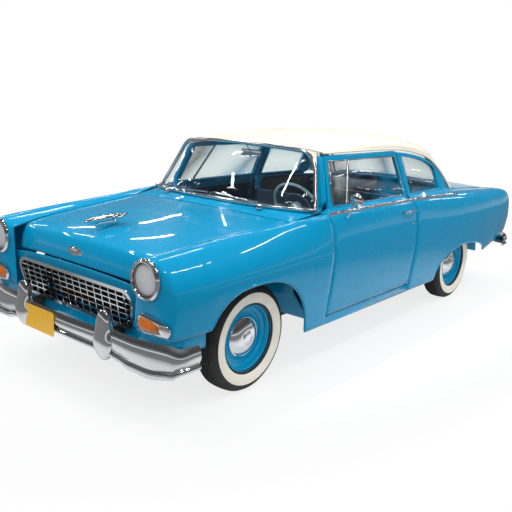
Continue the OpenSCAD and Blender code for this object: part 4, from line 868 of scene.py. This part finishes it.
silver_glass = plating("mirror_silver", (0.90, 0.92, 0.93), 0.015)
lock_profile = [(0.013, -0.002), (0.013, 0.002), (0.010, 0.0045), (0.0085, 0.0040), (0.0, 0.0052)]
for side, s in sides:
    turned_out(f"door_trim_{side}", f"door_{side}", chrome, 40)
    lock = touch(surface_of(f"door_{side}"), (-0.176, s * outside_y, 0.866), (0, -s, 0))
    piece(f"door_lock_{side}", lathe(lock_profile, lock, (0, s, 0), (0, 0, 1), 32), chrome, f"door_{side}")
trim_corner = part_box("door_trim_left")[1]
head = Vector((0.676, trim_corner[1] - 0.052, trim_corner[2] - 0.052))
disc = lathe([(0.0, -0.0084), (0.046, -0.0084), (0.047, -0.0078)], head, (1, 0, 0), (0, 0, 1), 48)
piece("door_mirror_glass", disc, silver_glass, "door_left")

# Seats: two benches of coil springs and cotton under cloth, sewn into upright pleats between vinyl bolsters
# and edged with piping. The front one stands on pressed steel pedestals bolted to the floor.


def cloth(name, colour, thread):
    """Woven upholstery: crossing threads with a slight sheen and worn tone."""
    finish = Finish(name)
    weave = finish.bands("Y", 420.0) * finish.bands("X", 420.0) + finish.bands("Z", 420.0) * 0.5
    wear = finish.noise(6.0, 5.0)
    return finish.done({
        "Base Color": finish.mix(weave * 0.6 + wear * 0.3, colour, thread),
        "Roughness": 0.72 + 0.15 * wear,
        "Sheen Weight": 0.25,
        "Normal": finish.bump(weave, 0.0008, 0.4),
    })


def vinyl(name, colour):
    """Grained leathercloth with a soft shine."""
    finish = Finish(name)
    grain = finish.node("ShaderNodeTexVoronoi", {}, {"Vector": finish.place(), "Scale": 480.0})
    tone = finish.noise(5.0, 4.0)
    return finish.done({
        "Base Color": finish.mix(tone, colour, (colour[0] * 0.75, colour[1] * 0.78, colour[2] * 0.8)),
        "Roughness": 0.36 + 0.14 * tone,
        "Normal": finish.bump(grain, 0.0006, 0.35),
    })


navy_cloth = cloth("navy_cloth", (0.012, 0.045, 0.10), (0.03, 0.10, 0.19))
navy_vinyl = vinyl("navy_vinyl", (0.008, 0.035, 0.085))


def bench_pad(name, middle, half, lean, pleats, crown, node):
    """Stuffed pad whose broad face, up or forward, is sewn in pleats; half gives its half sizes."""
    b = bmesh.new()
    bmesh.ops.create_cube(b, size=2)
    bmesh.ops.subdivide_edges(b, edges=b.edges[:], cuts=47, use_grid_fill=True)
    thick, tall = (2, 0) if half[0] > half[2] else (0, 2)
    turn = Matrix.Rotation(lean, 3, "Y")
    for v in b.verts:
        rise, w, face = v.co[tall], v.co.y, v.co[thick]
        round_off = 1 - 0.10 * (abs(rise) ** 6 + abs(w) ** 10) / 2
        groove = abs(math.cos(math.pi * pleats * (w + 1) / 2)) ** 14
        quilted = max(0, 1 - abs(w) ** 14) * max(0, 1 - abs(rise) ** 10)
        out = (crown * (1 - rise ** 2) * (1 - w ** 4) - 0.009 * groove * quilted) * max(0, face) ** 2
        pull = 1 - 0.018 * (1 - rise ** 2) * abs(w) ** 8
        p = Vector((0, w * half[1] * pull, 0))
        p[thick] = face * half[thick] * round_off + out
        p[tall] = rise * half[tall] * (1 - 0.05 * abs(face) ** 6)
        v.co = Vector(middle) + turn @ p
    made = piece(name, b, navy_cloth, "body", 180)
    made.data.materials.append(navy_vinyl)
    for p in made.data.polygons:
        p.material_index = 1 if abs(p.center.y) > half[1] * 0.90 else 0
    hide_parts(node)


bench_pad("front_cushion", (0.252, 0, 0.512), (0.262, 0.636, 0.072), -0.05, 26, 0.016, "front_seat")
bench_pad("front_backrest", (-0.080, 0, 0.778), (0.066, 0.636, 0.178), -0.22, 26, 0.014, "front_seat")
bench_pad("rear_cushion", (-0.585, 0, 0.520), (0.238, 0.604, 0.064), -0.05, 24, 0.014, "rear_seat")
bench_pad("rear_backrest", (-0.900, 0, 0.735), (0.062, 0.604, 0.198), -0.20, 24, 0.014, "rear_seat")
for name, x, z, half in (("front", 0.506, 0.560, 0.600), ("rear", -0.362, 0.566, 0.570)):
    rod(f"{name}_piping", [(x, lerp(-half, half, k / 12), z) for k in range(13)], 0.005, navy_vinyl, "body")
for side, s in sides:
    block(f"seat_pedestal_{side}", (0.34, 0.19, 0.126), (0.245, s * 0.45, 0.3815), 0.012, 3, chassis_black,
          "body")

# Cabin lining: looped carpet on the floor and a stretched cloth headlining. Vinyl cards are clipped to the
# doors and rear sides and cover the parcel shelf. Each door has a bright strip, a window winder and a handle.

tufts = Finish("carpet")
loops = tufts.noise(900.0, 2.0)
carpet = tufts.done({
    "Base Color": tufts.mix(loops, (0.008, 0.022, 0.045), (0.02, 0.05, 0.09)),
    "Roughness": 0.9,
    "Normal": tufts.bump(loops + tufts.noise(60.0, 4.0), 0.003, 0.7),
})
lined = Finish("headlining")
ribs = lined.bands("X", 2.6)
headlining = lined.done({
    "Base Color": lined.mix(lined.noise(8.0, 4.0), (0.50, 0.56, 0.58), (0.46, 0.52, 0.55)),
    "Roughness": 0.85,
    "Normal": lined.bump(ribs + lined.noise(500.0, 2.0) * 0.2, 0.004, 0.3),
})


def lining(name, across, lengthwise, place, material, body):
    """Sheet of cloth or card laid on whatever place finds for it, from two parameters."""
    b = bmesh.new()
    bmesh.ops.create_grid(b, x_segments=lengthwise, y_segments=across, size=0.5)
    for v in b.verts:
        v.co = place(v.co.x + 0.5, v.co.y + 0.5)
    bmesh.ops.recalc_face_normals(b, faces=b.faces)
    made = piece(name, b, material, body, 60)
    wall = made.modifiers.new("thickness", "SOLIDIFY")
    wall.thickness, wall.offset = 0.003, 0
    return made


floor_pan, roof_skin = felt("floor"), surface_of("roof")


def carpet_at(u, w):
    x, y = lerp(-0.285, 1.165, u), lerp(-0.765, 0.765, w)
    return touch(floor_pan, (x, y, 0.95), (0, 0, -1), 0.007) or Vector((x, y, 0.326))


def headlining_at(u, w):
    x, y = lerp(-0.90, 0.76, u), lerp(-0.56, 0.56, w)
    return touch(roof_skin, (x, y, 1.25), (0, 0, 1), 0.006) or Vector((x, y, 1.40))


mat = lining("carpet", 40, 60, carpet_at, carpet, "body")
canopy = lining("headlining", 30, 40, headlining_at, headlining, "body")
across = [lerp(-1, 1, k / 24) for k in range(25)]
shelf = [[Vector((x, half * w, z)) for w in across]
         for x, half, z in ((-1.010, 0.63, 0.540), (-1.010, 0.70, 0.940), (-1.030, 0.78, 0.958))]
shelf_back = []
for w in across:
    bow = math.sqrt(max(0, 1 - (0.70 * w / 0.61) ** 2))
    shelf_back.append(Vector((-1.300 - 0.145 * bow ** 0.8, 0.70 * w, 0.998)))
web("parcel_shelf", [*shelf, shelf_back], 0.004, navy_vinyl, "body")
quarter_line = ((0.728, 0.345), (0.732, 0.700), (0.736, 0.975), (0.748, 0.992), (0.784, 1.022))
for side, s in sides:
    door = surface_of(f"door_{side}")

    def card_at(u, w):
        x, z = lerp(-0.215, 0.905, u), lerp(0.385, 0.985, w)
        return touch(door, (x, s * 0.5, z), (0, s, 0), 0.004) or Vector((x, s * 0.85, z))

    lining(f"door_card_{side}", 20, 30, card_at, navy_vinyl, f"door_{side}")
    web(f"quarter_card_{side}", [[Vector((lerp(-0.292, -1.020, k / 12), s * y, z)) for k in range(13)]
                                 for y, z in quarter_line], 0.003, navy_vinyl, "body")
    strip = [card_at(k / 20, 0.62) - Vector((0, s * 0.003, 0)) for k in range(21)]
    rod(f"door_card_strip_{side}", strip, 0.005, stainless, f"door_{side}")
    for label, u, w, reach in (("winder", 0.42, 0.48, 0.090), ("handle", 0.66, 0.74, 0.080)):
        stem = card_at(u, w)
        crank = [stem, stem - Vector((0, s * 0.026, 0)), stem - Vector((reach, s * 0.032, 0.02)),
                 stem - Vector((reach, s * 0.052, 0.02))]
        rod(f"door_{label}_{side}", crank, 0.006, chrome, f"door_{side}")

# Dashboard: a painted steel pressing with a bright strip, a round dial before the driver, a matching speaker
# opening on the other side, and a row of knobs. The moulded plastic wheel carries a plated horn ring.

turned_out("dashboard", "body", blue)
turned_out("steering_column", "body", blue)
moulding = Finish("wheel_plastic")
streaks = moulding.noise(11.0, 4.0)
wheel_plastic = moulding.done({
    "Base Color": moulding.mix(streaks, (0.34, 0.50, 0.54), (0.40, 0.55, 0.58)),
    "Roughness": 0.22 + 0.1 * streaks,
    "Coat Weight": 0.6,
})
turned_out("steering_wheel", "steering_wheel", wheel_plastic, 50)
dial = Finish("dial_face")
dial_face = dial.done({
    "Base Color": dial.mix(dial.noise(40.0), (0.02, 0.022, 0.024), (0.03, 0.032, 0.034)),
    "Roughness": 0.3,
})
rake = math.radians(28)
hub = Vector((0.639, 0.362, 0.985))
shaft = Vector((-math.cos(rake), 0, math.sin(rake)))
ring = lathe(hoop(0.112, 0.026, 0.0042, 10), hub, shaft, (0, 1, 0), 72)
piece("horn_ring", ring, chrome, "steering_wheel", 180)
for k, out in enumerate((Vector((0, 1, 0)), Vector((0, -1, 0)))):
    arm = [hub + out * 0.040 + shaft * 0.022, hub + out * 0.112 + shaft * 0.026]
    rod(f"horn_ring_arm_{k}", arm, 0.0045, chrome, "steering_wheel")
button = [(0.040, 0.0185), (0.040, 0.024), (0.034, 0.030), (0.026, 0.0285), (0.012, 0.033), (0.0, 0.034)]
piece("horn_button", lathe(button, hub, shaft, (0, 1, 0), 48), chrome, "steering_wheel")
dash = felt("dashboard")
cabin_x = 0.3
strip = traced(dash, [(cabin_x, lerp(-0.70, 0.70, k / 28), 0.905) for k in range(29)], (1, 0, 0), 0.002)
rod("dash_strip", strip, 0.006, stainless, "body")
bezel_profile = [(0.088, 0), (0.088, 0.010), (0.080, 0.012), (0.078, 0.006)]
face_profile = [(0.0, 0.004), (0.079, 0.004), (0.079, 0.001)]
knob_profile = [(0.006, 0), (0.006, 0.012), (0.014, 0.014), (0.015, 0.022), (0.010, 0.026), (0, 0.027)]
for label, y in (("dial", 0.362), ("speaker", -0.362)):
    middle = touch(dash, (cabin_x, y, 0.942), (1, 0, 0), 0.001)
    piece(f"{label}_bezel", lathe(bezel_profile, middle, (-1, 0, 0), (0, 0, 1), 64), chrome, "body")
    piece(f"{label}_face", lathe(face_profile, middle, (-1, 0, 0), (0, 0, 1), 48), dial_face, "body")
for k, y in enumerate((0.60, 0.12, 0.06, 0.0, -0.06, -0.12)):
    stem = touch(dash, (cabin_x, y, 0.855), (1, 0, 0), -0.001)
    piece(f"dash_knob_{k}", lathe(knob_profile, stem, (-1, 0, 0), (0, 0, 1), 28), chrome, "body")

# Interior mirror: glass in a bright pressed steel back, on a bent plated stalk that is screwed to the
# windshield header.

block("interior_mirror", (0.016, 0.190, 0.054), (0.758, 0, 1.366), 0.0075, 4, chrome, "body")
stalk = [(0.766, 0, 1.370), (0.785, 0, 1.395), (0.812, 0, 1.425), (0.828, 0, 1.450)]
rod("interior_mirror_stalk", stalk, 0.005, chrome, "body")

# Stage: a pale floor that fades into a white surround, long soft strips overhead for the streaks on the
# panels, and a camera at the photograph's viewing angle.

ground = Finish("pale_floor")
sight = ground.node("ShaderNodeLightPath", out="Is Camera Ray")
glint = ground.node("ShaderNodeLightPath", out="Is Glossy Ray")
x = ground.node("ShaderNodeSeparateXYZ", {}, {0: ground.place()}, "X")
y = ground.node("ShaderNodeSeparateXYZ", {}, {0: ground.place()}, "Y")
near = ground.ramp(x * x * 0.055 + y * y * 0.16, [(0.36, 1.0), (0.80, 0.0)])
matt = ground.node("ShaderNodeBsdfDiffuse", {}, {0: ground.mix(near, (0.10, 0.10, 0.10), (0.82, 0.82, 0.82))})
lit = ground.node("ShaderNodeEmission", {}, {0: (1, 1, 1, 1), 1: 1.05})
glow = sight * (0.97 - 0.22 * near) + 0.08 * glint
pale_floor = ground.surface(ground.node("ShaderNodeMixShader", {}, {0: glow, 1: matt, 2: lit}))
b = bmesh.new()
bmesh.ops.create_grid(b, x_segments=1, y_segments=1, size=60)
mesh = bpy.data.meshes.new("floor_sheet")
b.to_mesh(mesh)
b.free()
mesh.materials.append(pale_floor)
sheet = bpy.data.objects.new("floor_sheet", mesh)
bpy.context.scene.collection.objects.link(sheet)

studio = Finish("studio", bpy.data.worlds)
looking = studio.node("ShaderNodeTexCoord", out="Generated")
height = studio.node("ShaderNodeSeparateXYZ", {}, {0: looking}, "Z")
ceiling = studio.ramp(height, [(0.0, 0.7), (0.05, 0.6), (0.11, 0.16), (0.30, 0.05), (0.60, 0.08),
                               (1.0, 0.25)])
glossy = studio.node("ShaderNodeLightPath", out="Is Glossy Ray")
passing = studio.node("ShaderNodeLightPath", out="Is Transmission Ray")
mirrored = studio.node("ShaderNodeBackground", {}, {0: ceiling})
soft = studio.node("ShaderNodeBackground", {}, {0: (0.97, 0.98, 1.0, 1)})
white = studio.node("ShaderNodeBackground", {}, {0: (1, 1, 1, 1)})
shiny = glossy.maths("MAXIMUM", glossy, passing)
unseen = studio.node("ShaderNodeMixShader", {}, {0: shiny, 1: soft, 2: mirrored})
sight = studio.node("ShaderNodeLightPath", out="Is Camera Ray")
surround = studio.node("ShaderNodeMixShader", {}, {0: sight, 1: unseen, 2: white})
studio.node("ShaderNodeOutputWorld", {}, {0: surround})
bpy.context.scene.world = studio.made
tube_length, tube_width, tube_watts, tube_z, tube_pitch = 1.15, 0.08, 12, 3.6, 2.1
for row in range(6):
    for column in range(5):
        lamp = bpy.data.lights.new("tube", "AREA")
        lamp.shape, lamp.size, lamp.size_y, lamp.energy = "RECTANGLE", tube_length, tube_width, tube_watts
        tube = bpy.data.objects.new("tube", lamp)
        tube.location = (2.6 - tube_pitch * row, 2.2 - tube_pitch * column, tube_z)
        bpy.context.scene.collection.objects.link(tube)
eye = Vector((4.644, 3.284, 1.804))
yaw, pitch, roll = math.radians(-140.6), math.radians(-13.63), math.radians(2.55)
focal_pixels, picture_pixels = 671.9, 512
ahead = Vector((math.cos(yaw) * math.cos(pitch), math.sin(yaw) * math.cos(pitch), math.sin(pitch)))
level = ahead.cross(Vector((0, 0, 1))).normalized()
lift = level.cross(ahead)
right = math.cos(roll) * level + math.sin(roll) * lift
up = lift * math.cos(roll) - level * math.sin(roll)
camera = bpy.data.cameras.new("camera")
camera.sensor_width = 36
camera.lens = focal_pixels / picture_pixels * camera.sensor_width
stand = bpy.data.objects.new("camera", camera)
stand.matrix_world = Matrix((right, up, -ahead)).transposed().to_4x4()
stand.location = eye
bpy.context.scene.collection.objects.link(stand)
bpy.context.scene.camera = stand
bpy.context.scene.view_settings.view_transform = "Standard"
